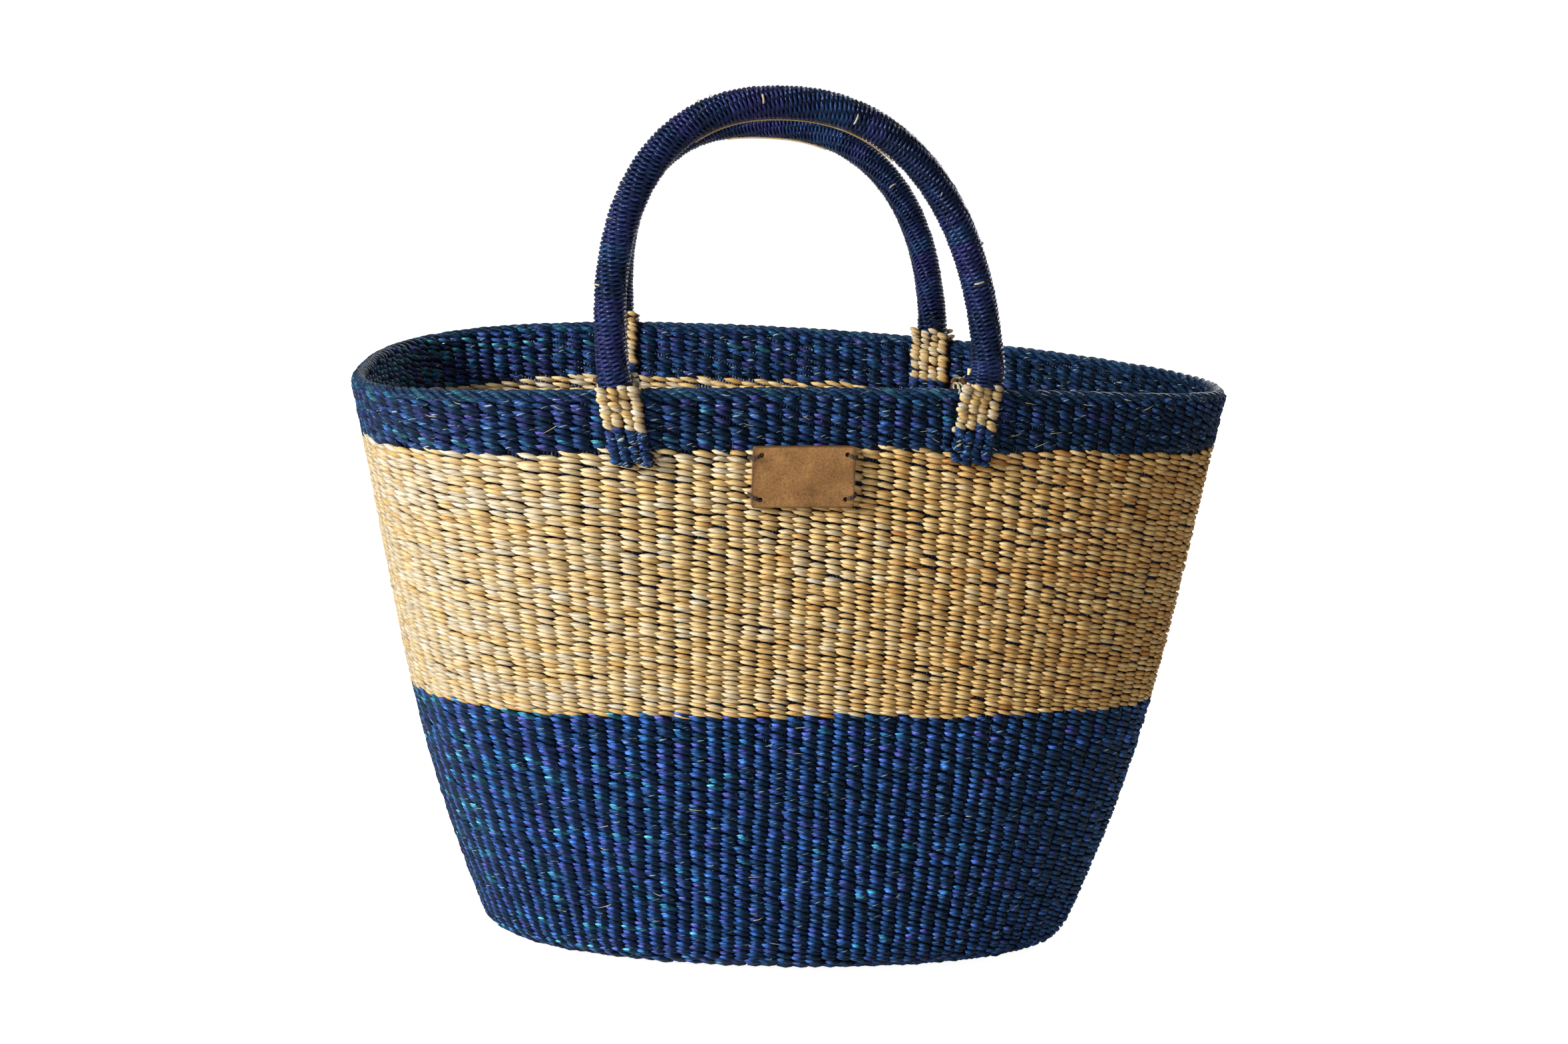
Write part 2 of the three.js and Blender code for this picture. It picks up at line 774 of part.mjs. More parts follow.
for (const foot of feet) {
  const name = `${foot.handle === frontHandle ? 'front' : 'back'}_${foot.name}`;
  add(basket, `${name}_root`, root(foot), natural);
  for (const [face, near, naturalHeight] of [
    ['outer', -tabReach, outerNaturalHeight],
    ['inner', wallThickness + gap, innerNaturalHeight],
  ]) {
    const naturalBottom = rimRun - naturalHeight;
    add(basket, `${name}_${face}_tab_natural`, tab(foot, naturalBottom, rimRun, near), natural);
    add(basket, `${name}_${face}_tab_navy`, tab(foot, tabBottomRun, naturalBottom - gap, near), navy);
  }
  for (const lacing of lacings.filter((each) => each.foot === foot)) {
    add(basket, `${name}_${lacing.place}_lacing`, lacingLoop(lacing), natural);
  }
}

add(basket, 'leather_patch', patch(), leather);
for (const corner of patchCorners) {
  const name = `${corner.toTop > 0 ? 'top' : 'bottom'}_${corner.toRight > 0 ? 'right' : 'left'}`;
  add(basket, `patch_tie_${name}`, tie(corner), thread);
}

for (const [name, handle] of [['front', frontHandle], ['back', backHandle]]) {
  const group = new THREE.Group();
  const arch = new HandleArch(handle);
  add(group, `${name}_handle_core`, handleCore(handle, arch), natural);
  add(group, `${name}_handle_wrap`, handleWrap(arch), navy);
  bag.add(group);
  const { left, right } = hingeFrame(handle);
  const [from, to] = [left, right].map((point) => point.toArray().map((x) => x.toFixed(2)).join(' '));
  console.log(`${name} handle hinge from ${from} to ${to}, length ${arch.getLength().toFixed(0)}`);
}

export default bag;
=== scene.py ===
# %% [markdown]
# A market basket of twined straw: navy, natural and navy bands over an oval base, a plaited rim,
# two wound handles and a leather patch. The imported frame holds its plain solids. This lesson
# dresses them with every stitch of the weave, so that the basket holds up in a close view. All
# sizes are in metres.

# %% The frame and the tools
import math

import bmesh
import bpy
import numpy as np
from mathutils import Matrix, Vector


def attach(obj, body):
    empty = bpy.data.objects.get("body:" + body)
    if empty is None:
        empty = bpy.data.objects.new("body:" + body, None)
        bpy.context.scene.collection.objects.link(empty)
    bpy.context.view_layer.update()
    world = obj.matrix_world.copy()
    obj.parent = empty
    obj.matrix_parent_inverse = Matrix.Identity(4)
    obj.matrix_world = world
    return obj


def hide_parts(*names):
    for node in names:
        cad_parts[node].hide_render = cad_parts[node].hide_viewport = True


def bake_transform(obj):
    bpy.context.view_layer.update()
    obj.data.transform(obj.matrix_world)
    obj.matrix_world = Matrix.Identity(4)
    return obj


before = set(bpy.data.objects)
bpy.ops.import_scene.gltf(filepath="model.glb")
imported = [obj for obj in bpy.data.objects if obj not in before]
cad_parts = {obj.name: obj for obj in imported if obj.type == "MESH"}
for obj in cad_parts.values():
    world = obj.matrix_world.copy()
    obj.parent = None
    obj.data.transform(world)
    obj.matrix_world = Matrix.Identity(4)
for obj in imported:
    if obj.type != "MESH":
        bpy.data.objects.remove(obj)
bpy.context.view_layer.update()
mm = 0.001
degree = math.pi / 180
scene = bpy.context.scene
print("the frame has", len(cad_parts), "solid pieces")

# %% [markdown]
# The camera stands a metre and a half in front of the basket, a little to its left and above the
# rim, and looks down by eleven degrees. A long lens keeps the sides of the basket upright. Its
# values were fitted until the basket's outline lay on that in the photograph.

# %% Camera
CAMERA_PLACE = (-0.0484, -1.4975, 0.5487)
CAMERA_YAW = -1.76 * degree
CAMERA_DOWN = 11.19 * degree
CAMERA_ROLL = 1.81 * degree
CAMERA_LENS = 60.08
SENSOR_WIDTH = 36

camera = bpy.data.objects.new("camera", bpy.data.cameras.new("camera"))
camera.data.sensor_width = SENSOR_WIDTH
camera.data.lens = CAMERA_LENS
heading = Matrix.Rotation(CAMERA_YAW, 4, "Z")
tilt = Matrix.Rotation(math.pi / 2 - CAMERA_DOWN, 4, "X")
roll = Matrix.Rotation(CAMERA_ROLL, 4, "Z")
camera.matrix_world = Matrix.Translation(CAMERA_PLACE) @ heading @ tilt @ roll
scene.collection.objects.link(camera)
scene.camera = camera
print("the camera has a lens of", CAMERA_LENS, "mm")

# %% [markdown]
# The wall of a basket is an oval that grows from the base to the rim. It could be modelled by
# hand, but a formula gives a point anywhere on it, and every stitch needs one. Four ovals are
# enough, with one smooth curve through them. The mouth is squeezed at its right end, as that of a
# used basket is, and its ends hang a little lower than its middle. A run is the length up the wall
# from the edge of the flat base.

# %% Sizes of the wall
OVAL_HEIGHTS = np.array([0, 115, 230, 345]) * mm
OVAL_HALF_WIDTHS = np.array([167, 207, 230.5, 250]) * mm
OVAL_HALF_DEPTHS = np.array([69, 94, 114.5, 135]) * mm
RIM_HEIGHT = OVAL_HEIGHTS[-1]
BASE_SQUARENESS = 1.97
RIM_SQUARENESS = 2.73
MOUTH_PINCH = 0.38
RIM_SAG = 11 * mm
CORNER_RADIUS = 18 * mm
WALL_THICKNESS = 8 * mm
CORNER_RUN = CORNER_RADIUS * math.pi / 2
SEAM_RUN = CORNER_RADIUS - OVAL_HALF_DEPTHS[0]
OUTLINE_STEPS = 1440


def run_at(height):
    """The run of a height above the corner."""
    return CORNER_RUN + height - CORNER_RADIUS


LOWER_BAND_RUN = run_at(159.5 * mm)
UPPER_BAND_RUN = run_at(RIM_HEIGHT - 33.7 * mm)
BORDER_RUN = run_at(RIM_HEIGHT - 7.2 * mm)
RIM_RUN = run_at(RIM_HEIGHT)
print("the wall runs", round(RIM_RUN * 1000), "mm up from the flat base")


# %% The outline of the wall at any run
def through(sizes, heights):
    """One curve through the sizes given at the four ovals."""
    total = np.zeros_like(heights)
    for own, size in enumerate(sizes):
        share = np.ones_like(heights)
        for other, at in enumerate(OVAL_HEIGHTS):
            if other != own:
                share *= (heights - at) / (OVAL_HEIGHTS[own] - at)
        total += size * share
    return total


def outlines(runs):
    """The closed outline at each run, from the middle of the front round by the right end."""
    runs = np.asarray(runs, float)[:, None]
    angle = np.linspace(-0.5, 1.5, OUTLINE_STEPS + 1)[None, :] * math.pi
    bend = np.clip(runs / CORNER_RADIUS, 0, math.pi / 2)
    height = CORNER_RADIUS * (1 - np.cos(bend)) + np.maximum(runs - CORNER_RUN, 0)
    inset = CORNER_RADIUS * (1 - np.sin(bend)) + np.maximum(-runs, 0)
    share = height / RIM_HEIGHT
    power = 2 / (BASE_SQUARENESS + (RIM_SQUARENESS - BASE_SQUARENESS) * share)
    c, s = np.cos(angle), np.sin(angle)
    across = np.sign(c) * np.abs(c) ** power
    back = np.sign(s) * np.abs(s) ** power
    x = (through(OVAL_HALF_WIDTHS, height) - inset) * across
    y = (through(OVAL_HALF_DEPTHS, height) - inset) * back * (1 - MOUTH_PINCH * share * across)
    z = height + RIM_SAG * share * (0.5 - across**2)
    return np.stack([x, y, z], -1)


rim_outline = outlines([RIM_RUN])[0]
print("the rim is", round(np.ptp(rim_outline[:, 0]), 3), "m wide")


# %% [markdown]
# Stakes stand side by side at an even pitch along the middle of the front and of the back, so
# there they rise straight up. The ends of the basket take up the rest of the growing outline.
# A column is counted from the middle of the front, and may be a fraction. Spreading the columns
# evenly would be simpler, but then they would fan out like those of a lampshade.


# %% Points and directions on the wall
MOST_SLACK = 0.8


def wall_points(columns, runs, quarter, pitch):
    """The outer face at each run and column, for `quarter` columns from a middle to an end."""
    points = outlines(runs)
    paces = np.linalg.norm(np.diff(points, axis=1), axis=2)
    lengths = np.concatenate([np.zeros((len(points), 1)), np.cumsum(paces, axis=1)], 1)
    columns = np.broadcast_to(columns, (len(points), np.shape(columns)[-1]))
    placed = np.empty(columns.shape + (3,))
    corner_steps = OUTLINE_STEPS // 4
    for row, (line, length) in enumerate(zip(points, lengths)):
        column = np.mod(columns[row], 4 * quarter)
        number = np.floor(column / quarter).astype(int)
        part = column / quarter - number
        start, end = length[number * corner_steps], length[(number + 1) * corner_steps]
        from_middle = number % 2 == 0
        part = np.where(from_middle, part, 1 - part)
        slack = 1 - pitch * quarter / (end - start) if pitch else 0
        slack = np.clip(slack, -MOST_SLACK, MOST_SLACK)
        paced = (1 - slack) * part + slack * part**2
        at = np.where(from_middle, start + (end - start) * paced, end - (end - start) * paced)
        for axis in range(3):
            placed[row, :, axis] = np.interp(at, length, line[:, axis])
    return placed


def unit(vectors):
    """The vectors at a length of one."""
    return vectors / np.maximum(np.linalg.norm(vectors, axis=-1, keepdims=True), 1e-12)


def wall_frames(columns, runs, quarter, pitch):
    """Points on the outer face with the directions to the right and outwards, and the pitch."""
    step = 0.25
    lift = 0.6 * mm
    runs = np.asarray(runs, float)
    points = wall_points(columns, runs, quarter, pitch)
    right = wall_points(columns + step, runs, quarter, pitch)
    right -= wall_points(columns - step, runs, quarter, pitch)
    up = wall_points(columns, runs + lift, quarter, pitch)
    up -= wall_points(columns, runs - lift, quarter, pitch)
    local_pitch = np.linalg.norm(right, axis=-1) / (2 * step)
    along = unit(right)
    return points, along, unit(np.cross(along, up)), local_pitch


# %% [markdown]
# The same small steps come back in every node tree: add a node and wire its inputs, do a sum, keep
# a value under a name. A helper for each keeps the trees short enough to read.


# %% Helpers for node trees
def add_node(tree, kind, inputs=None, **settings):
    """A new node with its settings, and with each input wired to a socket or set to a value."""
    node = tree.nodes.new(kind)
    for name, value in settings.items():
        setattr(node, name, value)
    for name, value in (inputs or {}).items():
        if isinstance(value, bpy.types.NodeSocket):
            tree.links.new(value, node.inputs[name])
        else:
            node.inputs[name].default_value = value
    return node


def calculate(tree, operation, first, second=0.0):
    """The result of one Math node."""
    kind = "ShaderNodeMath"
    return add_node(tree, kind, {0: first, 1: second}, operation=operation).outputs[0]


def plus(tree, first, second):
    return calculate(tree, "ADD", first, second)


def minus(tree, first, second):
    return calculate(tree, "SUBTRACT", first, second)


def times(tree, first, second):
    return calculate(tree, "MULTIPLY", first, second)


def vector_math(tree, operation, first, second):
    """The result of one Vector Math node."""
    kind = "ShaderNodeVectorMath"
    return add_node(tree, kind, {0: first, 1: second}, operation=operation).outputs[0]


def scaled(tree, vector, factor):
    """A vector times a number."""
    inputs = {0: vector, "Scale": factor}
    return add_node(tree, "ShaderNodeVectorMath", inputs, operation="SCALE").outputs[0]


def combined(tree, x=0.0, y=0.0, z=0.0):
    """A vector made of three numbers."""
    return add_node(tree, "ShaderNodeCombineXYZ", {0: x, 1: y, 2: z}).outputs[0]


def remap(tree, value, low=0.0, high=1.0, to_low=0.0, to_high=1.0):
    """A value moved from one range to another, and held inside it."""
    inputs = {"Value": value, "From Min": low, "From Max": high, "To Min": to_low, "To Max": to_high}
    return add_node(tree, "ShaderNodeMapRange", inputs).outputs[0]


def noise(tree, place, scale, detail, roughness=0.5):
    """The outputs of a Noise Texture."""
    inputs = {"Vector": place, "Scale": scale, "Detail": detail, "Roughness": roughness}
    return add_node(tree, "ShaderNodeTexNoise", inputs).outputs


# %% Helpers for Geometry Nodes
def named(tree, name, kind="FLOAT"):
    """The values of a named attribute."""
    node = add_node(tree, "GeometryNodeInputNamedAttribute", {"Name": name}, data_type=kind)
    return node.outputs["Attribute"]


def stored(tree, geometry, name, value, domain="POINT", kind="FLOAT"):
    """The geometry with a value kept under a name."""
    inputs = {"Geometry": geometry, "Name": name, "Value": value}
    node = add_node(
        tree, "GeometryNodeStoreNamedAttribute", inputs, domain=domain, data_type=kind
    )
    return node.outputs[0]


def random_value(tree, seed, low=0.0, high=1.0, own=None):
    """A random number for each point, or one for each value of `own`."""
    inputs = {"Min": low, "Max": high, "Seed": seed}
    if own is not None:
        inputs["ID"] = own
    return add_node(tree, "FunctionNodeRandomValue", inputs, data_type="FLOAT").outputs["Value"]


def spline_parameter(tree, output="Factor"):
    """How far along its curve each point is, as a factor or a length."""
    return tree.nodes.new("GeometryNodeSplineParameter").outputs[output]


def straight_curve(tree, start, end, stations):
    """A straight curve with the given number of points."""
    line = add_node(tree, "GeometryNodeCurvePrimitiveLine", {"Start": start, "End": end})
    inputs = {"Curve": line.outputs[0], "Count": stations}
    return add_node(tree, "GeometryNodeResampleCurve", inputs).outputs[0]


def with_radius(tree, curve, radius):
    """The curve with a radius at each point."""
    inputs = {"Curve": curve, "Radius": radius}
    return add_node(tree, "GeometryNodeSetCurveRadius", inputs).outputs[0]


def geometry_tree(name, inputs):
    """A tree with a geometry in and out, and with the named inputs: name, socket type, value."""
    tree = bpy.data.node_groups.new(name, "GeometryNodeTree")
    tree.interface.new_socket("Geometry", in_out="INPUT", socket_type="NodeSocketGeometry")
    tree.interface.new_socket("Geometry", in_out="OUTPUT", socket_type="NodeSocketGeometry")
    for label, kind, value in inputs:
        socket = tree.interface.new_socket(label, in_out="INPUT", socket_type="NodeSocket" + kind)
        if value is not None:
            socket.default_value = value
    source = tree.nodes.new("NodeGroupInput")
    return tree, source.outputs


def close_tree(tree, geometry, material):
    """Ends a tree: instances become real, faces are smooth and the finish is set."""
    real = add_node(tree, "GeometryNodeRealizeInstances", {"Geometry": geometry})
    smooth = add_node(tree, "GeometryNodeSetShadeSmooth", {"Geometry": real.outputs[0]})
    inputs = {"Geometry": smooth.outputs[0], "Material": material}
    finish = add_node(tree, "GeometryNodeSetMaterial", inputs)
    sink = tree.nodes.new("NodeGroupOutput")
    tree.links.new(finish.outputs[0], sink.inputs[0])
    return tree


# %% [markdown]
# One stitch of a twined weave is a short length of twisted straw. It comes out between two
# stakes, bulges over one of them and dives in again, lower down on the right. It could be a bump
# in a material, but then the outline of the basket would be smooth. Here it is a curve with a
# round section that thins out to both tips. The tree makes it once at a size of one and puts it
# on every point of a loom: a set of points that know their directions and sizes.


# %% Sections swept along curves
def section_arc(tree, sides, radius=0.5):
    """A round section that starts and ends at one place, so that its map has a clean seam."""
    resolution = plus(tree, sides, 1.0)
    inputs = {"Resolution": resolution, "Radius": radius, "Sweep Angle": 2 * math.pi}
    arc = add_node(tree, "GeometryNodeCurveArc", inputs)
    return stored(tree, arc.outputs["Curve"], "around", spline_parameter(tree))


def swept(tree, curve, profile, caps=False):
    """A section swept along a curve, with a map of its length and its way round."""
    radius = tree.nodes.new("GeometryNodeInputRadius").outputs[0]
    inputs = {"Curve": curve, "Profile Curve": profile, "Scale": radius, "Fill Caps": caps}
    tube = add_node(tree, "GeometryNodeCurveToMesh", inputs).outputs[0]
    uv = combined(tree, named(tree, "along_it"), named(tree, "around"))
    mapped = stored(tree, tube, "StrandUV", uv, "CORNER", "FLOAT2")
    inputs = {"Geometry": mapped, "Distance": 1e-5}
    return add_node(tree, "GeometryNodeMergeByDistance", inputs).outputs[0]


# %% The tree for stitches
def stitch_tree():
    """One bent and pointed stitch, placed and turned on every point."""
    tree, given = geometry_tree(
        "Twined stitches",
        [
            ("Pointedness", "Float", 0.6),
            ("Skew", "Float", 1.2),
            ("Bulge", "Float", 0.8),
            ("Tuck", "Float", 0.5),
            ("Arch", "Float", 0.3),
            ("Stations", "Int", 6),
            ("Sides", "Int", 5),
            ("Slant", "Float", 14 * degree),
            ("Slant Play", "Float", 3 * degree),
            ("Size Play", "Float", 0.12),
            ("Seed", "Int", 1),
            ("Finish", "Material", None),
        ],
    )
    spine = straight_curve(tree, (-0.5, 0, 0), (0.5, 0, 0), given["Stations"])
    factor = spline_parameter(tree)
    spine = stored(tree, spine, "along_it", factor)
    skewed = calculate(tree, "POWER", factor, given["Skew"])
    hump = times(tree, times(tree, skewed, minus(tree, 1.0, skewed)), 4.0)
    bow = minus(tree, hump, 0.5)
    tuck = times(tree, minus(tree, 0.5, factor), given["Tuck"])
    lift = plus(tree, times(tree, bow, given["Bulge"]), tuck)
    offset = combined(tree, y=times(tree, bow, given["Arch"]), z=lift)
    bent = add_node(tree, "GeometryNodeSetPosition", {"Geometry": spine, "Offset": offset}).outputs[0]
    bent = with_radius(tree, bent, calculate(tree, "POWER", hump, given["Pointedness"]))
    stitch = swept(tree, bent, section_arc(tree, given["Sides"]))

    axes = {
        "Primary Axis": named(tree, "outwards", "FLOAT_VECTOR"),
        "Secondary Axis": named(tree, "along", "FLOAT_VECTOR"),
    }
    facing = add_node(tree, "FunctionNodeAxesToRotation", axes, primary_axis="Z", secondary_axis="X")
    swing = times(tree, random_value(tree, given["Seed"], -1.0, 1.0), given["Slant Play"])
    euler = combined(tree, z=minus(tree, swing, given["Slant"]))
    turn = add_node(tree, "FunctionNodeEulerToRotation", {0: euler}).outputs[0]
    inputs = {0: facing.outputs[0], 1: turn}
    rotation = add_node(tree, "FunctionNodeRotateRotation", inputs, rotation_space="LOCAL").outputs[0]
    growth = random_value(tree, plus(tree, given["Seed"], 7.0), -1.0, 1.0)
    growth = plus(tree, times(tree, growth, given["Size Play"]), 1.0)
    size = scaled(tree, named(tree, "size", "FLOAT_VECTOR"), growth)
    inputs = {"Points": given["Geometry"], "Instance": stitch, "Rotation": rotation, "Scale": size}
    placed = add_node(tree, "GeometryNodeInstanceOnPoints", inputs).outputs[0]
    return close_tree(tree, placed, given["Finish"])


stitches = stitch_tree()
print("the stitch tree has", len(stitches.nodes), "nodes")


# %% Points that carry attributes, and trees turned into plain meshes
def points_object(name, points, floats=None, vectors=None, edges=()):
    """A mesh of loose points or lines with named values on its points."""
    mesh = bpy.data.meshes.new(name)
    mesh.from_pydata(points.reshape(-1, 3).tolist(), list(edges), [])
    for field, kind, layers in (("value", "FLOAT", floats), ("vector", "FLOAT_VECTOR", vectors)):
        for label, values in (layers or {}).items():
            layer = mesh.attributes.new(label, kind, "POINT")
            layer.data.foreach_set(field, np.ascontiguousarray(values, np.float32).ravel())
    obj = bpy.data.objects.new(name, mesh)
    scene.collection.objects.link(obj)
    return obj


def grown(obj, tree, inputs):
    """Runs a tree on an object and keeps the result as a plain mesh under the same name."""
    modifier = obj.modifiers.new(tree.name, "NODES")
    modifier.node_group = tree
    for item in tree.interface.items_tree:
        if item.in_out == "INPUT" and item.name in inputs:
            modifier[item.identifier] = inputs[item.name]
    bpy.context.view_layer.update()
    evaluated = obj.evaluated_get(bpy.context.evaluated_depsgraph_get())
    mesh = bpy.data.meshes.new_from_object(evaluated)
    obj.modifiers.remove(modifier)
    loose = obj.data
    obj.data = mesh
    bpy.data.meshes.remove(loose)
    mesh.name = obj.name
    return obj


def finish_piece(obj, body, slot, *nodes):
    """Makes a piece move with its body and hides the solids that it stands for. Its slot is not used.
    """
    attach(obj, body)
    if nodes:
        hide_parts(*nodes)
    print(obj.name, len(obj.data.polygons), "faces")
    return obj


# %% [markdown]
# Straw is dyed or left as it grew, and its fine fibres run along each strand with a slight twist.
# A picture of straw could be wrapped round the strands, but it would repeat. One shader group
# makes the fibres from each strand's own map instead. Every straw material uses it with its own
# values, and picks the colour of a strand from its tint, so that no two are quite alike.


# %% Helpers for materials
def new_material(name):
    """A material with its node tree and its Principled shader."""
    material = bpy.data.materials.new(name)
    material.use_nodes = True
    return material, material.node_tree, material.node_tree.nodes["Principled BSDF"]


def attribute(tree, name):
    """The values of a named attribute, for a shader."""
    return add_node(tree, "ShaderNodeAttribute", attribute_name=name).outputs["Fac"]


def strand_map(tree):
    """The place along a strand and round it."""
    uv = add_node(tree, "ShaderNodeUVMap", uv_map="StrandUV").outputs[0]
    parts = add_node(tree, "ShaderNodeSeparateXYZ", {0: uv}).outputs
    return parts[0], parts[1]


def ramp(tree, factor, stops):
    """A colour ramp: stops are pairs of a place and a colour, or a number for a grey."""
    node = add_node(tree, "ShaderNodeValToRGB", {"Fac": factor})
    elements = node.color_ramp.elements
    while len(elements) < len(stops):
        elements.new(0.5)
    for element, (place, colour) in zip(elements, stops):
        element.position = place
        element.color = (*colour, 1) if isinstance(colour, tuple) else (colour, colour, colour, 1)
    return node.outputs["Color"]


def mixed(tree, factor, first, second, blend="MIX"):
    """Two colours mixed by a factor."""
    node = add_node(tree, "ShaderNodeMix", {}, data_type="RGBA", blend_type=blend)
    for index, value in ((0, factor), (6, first), (7, second)):
        if isinstance(value, bpy.types.NodeSocket):
            tree.links.new(value, node.inputs[index])
        else:
            node.inputs[index].default_value = value if index == 0 else (*value, 1)
    return node.outputs[2]


def bumped(tree, shader, height, strength, distance):
    """Gives a shader the small relief of a height."""
    inputs = {"Strength": strength, "Distance": distance, "Height": height}
    tree.links.new(add_node(tree, "ShaderNodeBump", inputs).outputs[0], shader.inputs["Normal"])


# %% The shader group for straw
TINT_STRIDE = 91.0
FIBRE_CONTRAST = (0.32, 0.68)
FLECK_OFFSET = (31.0, 17.0, 5.0)
FLECK_SOFTNESS = 0.05
PLY_CONTRAST = (-1.0, 0.6)


def straw_fibres_group():
    """Masks of a strand: its fibres, rare bright flecks, the place along it and its plies."""
    tree = bpy.data.node_groups.new("Straw fibres", "ShaderNodeTree")
    sizes = {
        "Lengthwise": 1.0,
        "Crosswise": 9.0,
        "Twist": 1.5,
        "Fleck Size": 2.0,
        "Fleck Share": 0.66,
        "Ply Turns": 0.0,
    }
    for label, value in sizes.items():
        socket = tree.interface.new_socket(label, in_out="INPUT", socket_type="NodeSocketFloat")
        socket.default_value = value
    given = tree.nodes.new("NodeGroupInput").outputs
    along, around = strand_map(tree)
    turned = plus(tree, around, times(tree, along, given["Twist"]))
    spot = combined(
        tree,
        times(tree, along, given["Lengthwise"]),
        times(tree, turned, given["Crosswise"]),
        times(tree, attribute(tree, "tint"), TINT_STRIDE),
    )
    mask = remap(tree, noise(tree, spot, 1.0, 3.0, 0.6)["Fac"], *FIBRE_CONTRAST)
    elsewhere = vector_math(tree, "ADD", spot, FLECK_OFFSET)
    limit = plus(tree, given["Fleck Share"], FLECK_SOFTNESS)
    flecks = noise(tree, elsewhere, given["Fleck Size"], 1.0)["Fac"]
    fleck = remap(tree, flecks, given["Fleck Share"], limit)
    ply = plus(tree, times(tree, along, given["Ply Turns"]), times(tree, around, 2.0))
    plies = remap(tree, calculate(tree, "SINE", times(tree, ply, 2 * math.pi)), *PLY_CONTRAST)
    masks = {"Mask": mask, "Fleck": fleck, "Along": along, "Plies": plies}
    for label in masks:
        tree.interface.new_socket(label, in_out="OUTPUT", socket_type="NodeSocketFloat")
    result = tree.nodes.new("NodeGroupOutput")
    for label, value in masks.items():
        tree.links.new(value, result.inputs[label])
    return tree


straw_fibres = straw_fibres_group()
print("the straw group has", len(straw_fibres.nodes), "nodes")

# %% [markdown]
# A straw shines where it bulges and is nearly black where it dives under the next stake. The
# light alone makes too little of that at this size, so a ramp along the stitch paints a highlight
# on the bulge and shade where it dives, and the straw gets rougher on its way down. One function
# makes every straw material from its own ramps.

# %% Straw materials
# Painted shade in the grooves between plies and a painted highlight on their crests.
PAINTED_PLY_SHADE = [(0.0, (0.25, 0.25, 0.3)), (0.8, 1.3)]
PLY_HEIGHT = 2.0
FIBRE_HEIGHT = 0.4 * mm
TUCKED_ROUGHNESS = 0.9


def straw_material(
    name, tints, fibres, fleck, fibre_map, roughness, specular, painted_highlight_and_shade=None, gloss=(1, 1, 1), bump=0.5
):
    """Straw of many tints. `fibres` is a ramp that multiplies the tint over the fibres, and a second
    ramp along a stitch multiplies it with a painted highlight where the stitch bulges and painted
    shade where it dives. `fleck` is the colour of its rare bright fibres."""
    material, tree, shader = new_material(name)
    group = add_node(tree, "ShaderNodeGroup", fibre_map, node_tree=straw_fibres)
    masks = group.outputs
    colour = ramp(tree, attribute(tree, "tint"), tints)
    colour = mixed(tree, 1.0, colour, ramp(tree, masks["Mask"], fibres), "MULTIPLY")
    # Painted highlight where the stitch bulges and painted shade where it dives under the next stake.
    if painted_highlight_and_shade:
        colour = mixed(tree, 1.0, colour, ramp(tree, masks["Along"], painted_highlight_and_shade), "MULTIPLY")
    height = masks["Mask"]
    if "Ply Turns" in fibre_map:
        # Painted shade in the ply grooves and a painted highlight on the ply crests, besides their
        # bump.
        colour = mixed(tree, 1.0, colour, ramp(tree, masks["Plies"], PAINTED_PLY_SHADE), "MULTIPLY")
        height = plus(tree, height, times(tree, masks["Plies"], PLY_HEIGHT))
    colour = mixed(tree, masks["Fleck"], colour, fleck)
    tree.links.new(colour, shader.inputs["Base Color"])
    bumped(tree, shader, height, bump, FIBRE_HEIGHT)
    shader.inputs["Specular Tint"].default_value = (*gloss, 1)
    shader.inputs["Roughness"].default_value = roughness
    shader.inputs["Specular IOR Level"].default_value = specular
    if painted_highlight_and_shade:
        tucked = times(tree, masks["Along"], TUCKED_ROUGHNESS - roughness)
        tree.links.new(plus(tree, tucked, roughness), shader.inputs["Roughness"])
    return material


# %% [markdown]
# Natural straw is mostly pale gold, with some brown and some grey lengths. A material for each
# colour would need as many pieces. As a strand's tint is a number from 0 to 1, one ramp can hold
# all of them. Stray ends are seen from all sides, so they have a plain look along their length.

# %% Natural straw
NATURAL_TINTS = [
    (0.0, (0.30, 0.12, 0.022)),
    (0.2, (0.44, 0.25, 0.075)),
    (0.4, (0.50, 0.35, 0.145)),
    (0.55, (0.52, 0.40, 0.21)),
    (0.8, (0.44, 0.41, 0.34)),
    (1.0, (0.60, 0.57, 0.51)),
]
natural = straw_material(
    "straw_natural",
    tints=NATURAL_TINTS,
    fibres=[(0.0, (0.60, 0.50, 0.36)), (0.5, (0.97, 0.96, 0.93)), (1.0, 1.22)],
    # Painted light along the stitch: a painted highlight on the left tip and painted shade, brown,
    # towards the tucked right end.
    painted_highlight_and_shade=[
        (0.0, 1.35),
        (0.28, (1.2, 1.19, 1.16)),
        (0.5, (0.9, 0.8, 0.62)),
        (0.72, (0.2, 0.09, 0.03)),
    ],
    fleck=(0.26, 0.13, 0.04),
    fibre_map={
        "Lengthwise": 0.9,
        "Crosswise": 7.0,
        "Twist": 0.6,
        "Fleck Size": 1.2,
        "Fleck Share": 0.72,
    },
    roughness=0.45,
    specular=0.4,
)
hair_finish = straw_material(
    "stray_straw",
    tints=NATURAL_TINTS,
    fibres=[(0.0, (0.7, 0.75, 0.7)), (1.0, 1.1)],
    fleck=(0.6, 0.55, 0.4),
    fibre_map={
        "Lengthwise": 120.0,
        "Crosswise": 3.0,
        "Twist": 0.0,
        "Fleck Size": 0.8,
        "Fleck Share": 0.7,
    },
    roughness=0.5,
    specular=0.4,
)
print("natural straw:", natural.name, "and", hair_finish.name)

# %% [markdown]
# The dye takes unevenly: most straws are navy, some are violet, blue or blue-green, and a few pale
# fibres show where it didn't reach. The upper band of this basket is a little duller than the
# lower one, and the tabs have coarser fibres and more flecks, so each has its own values.

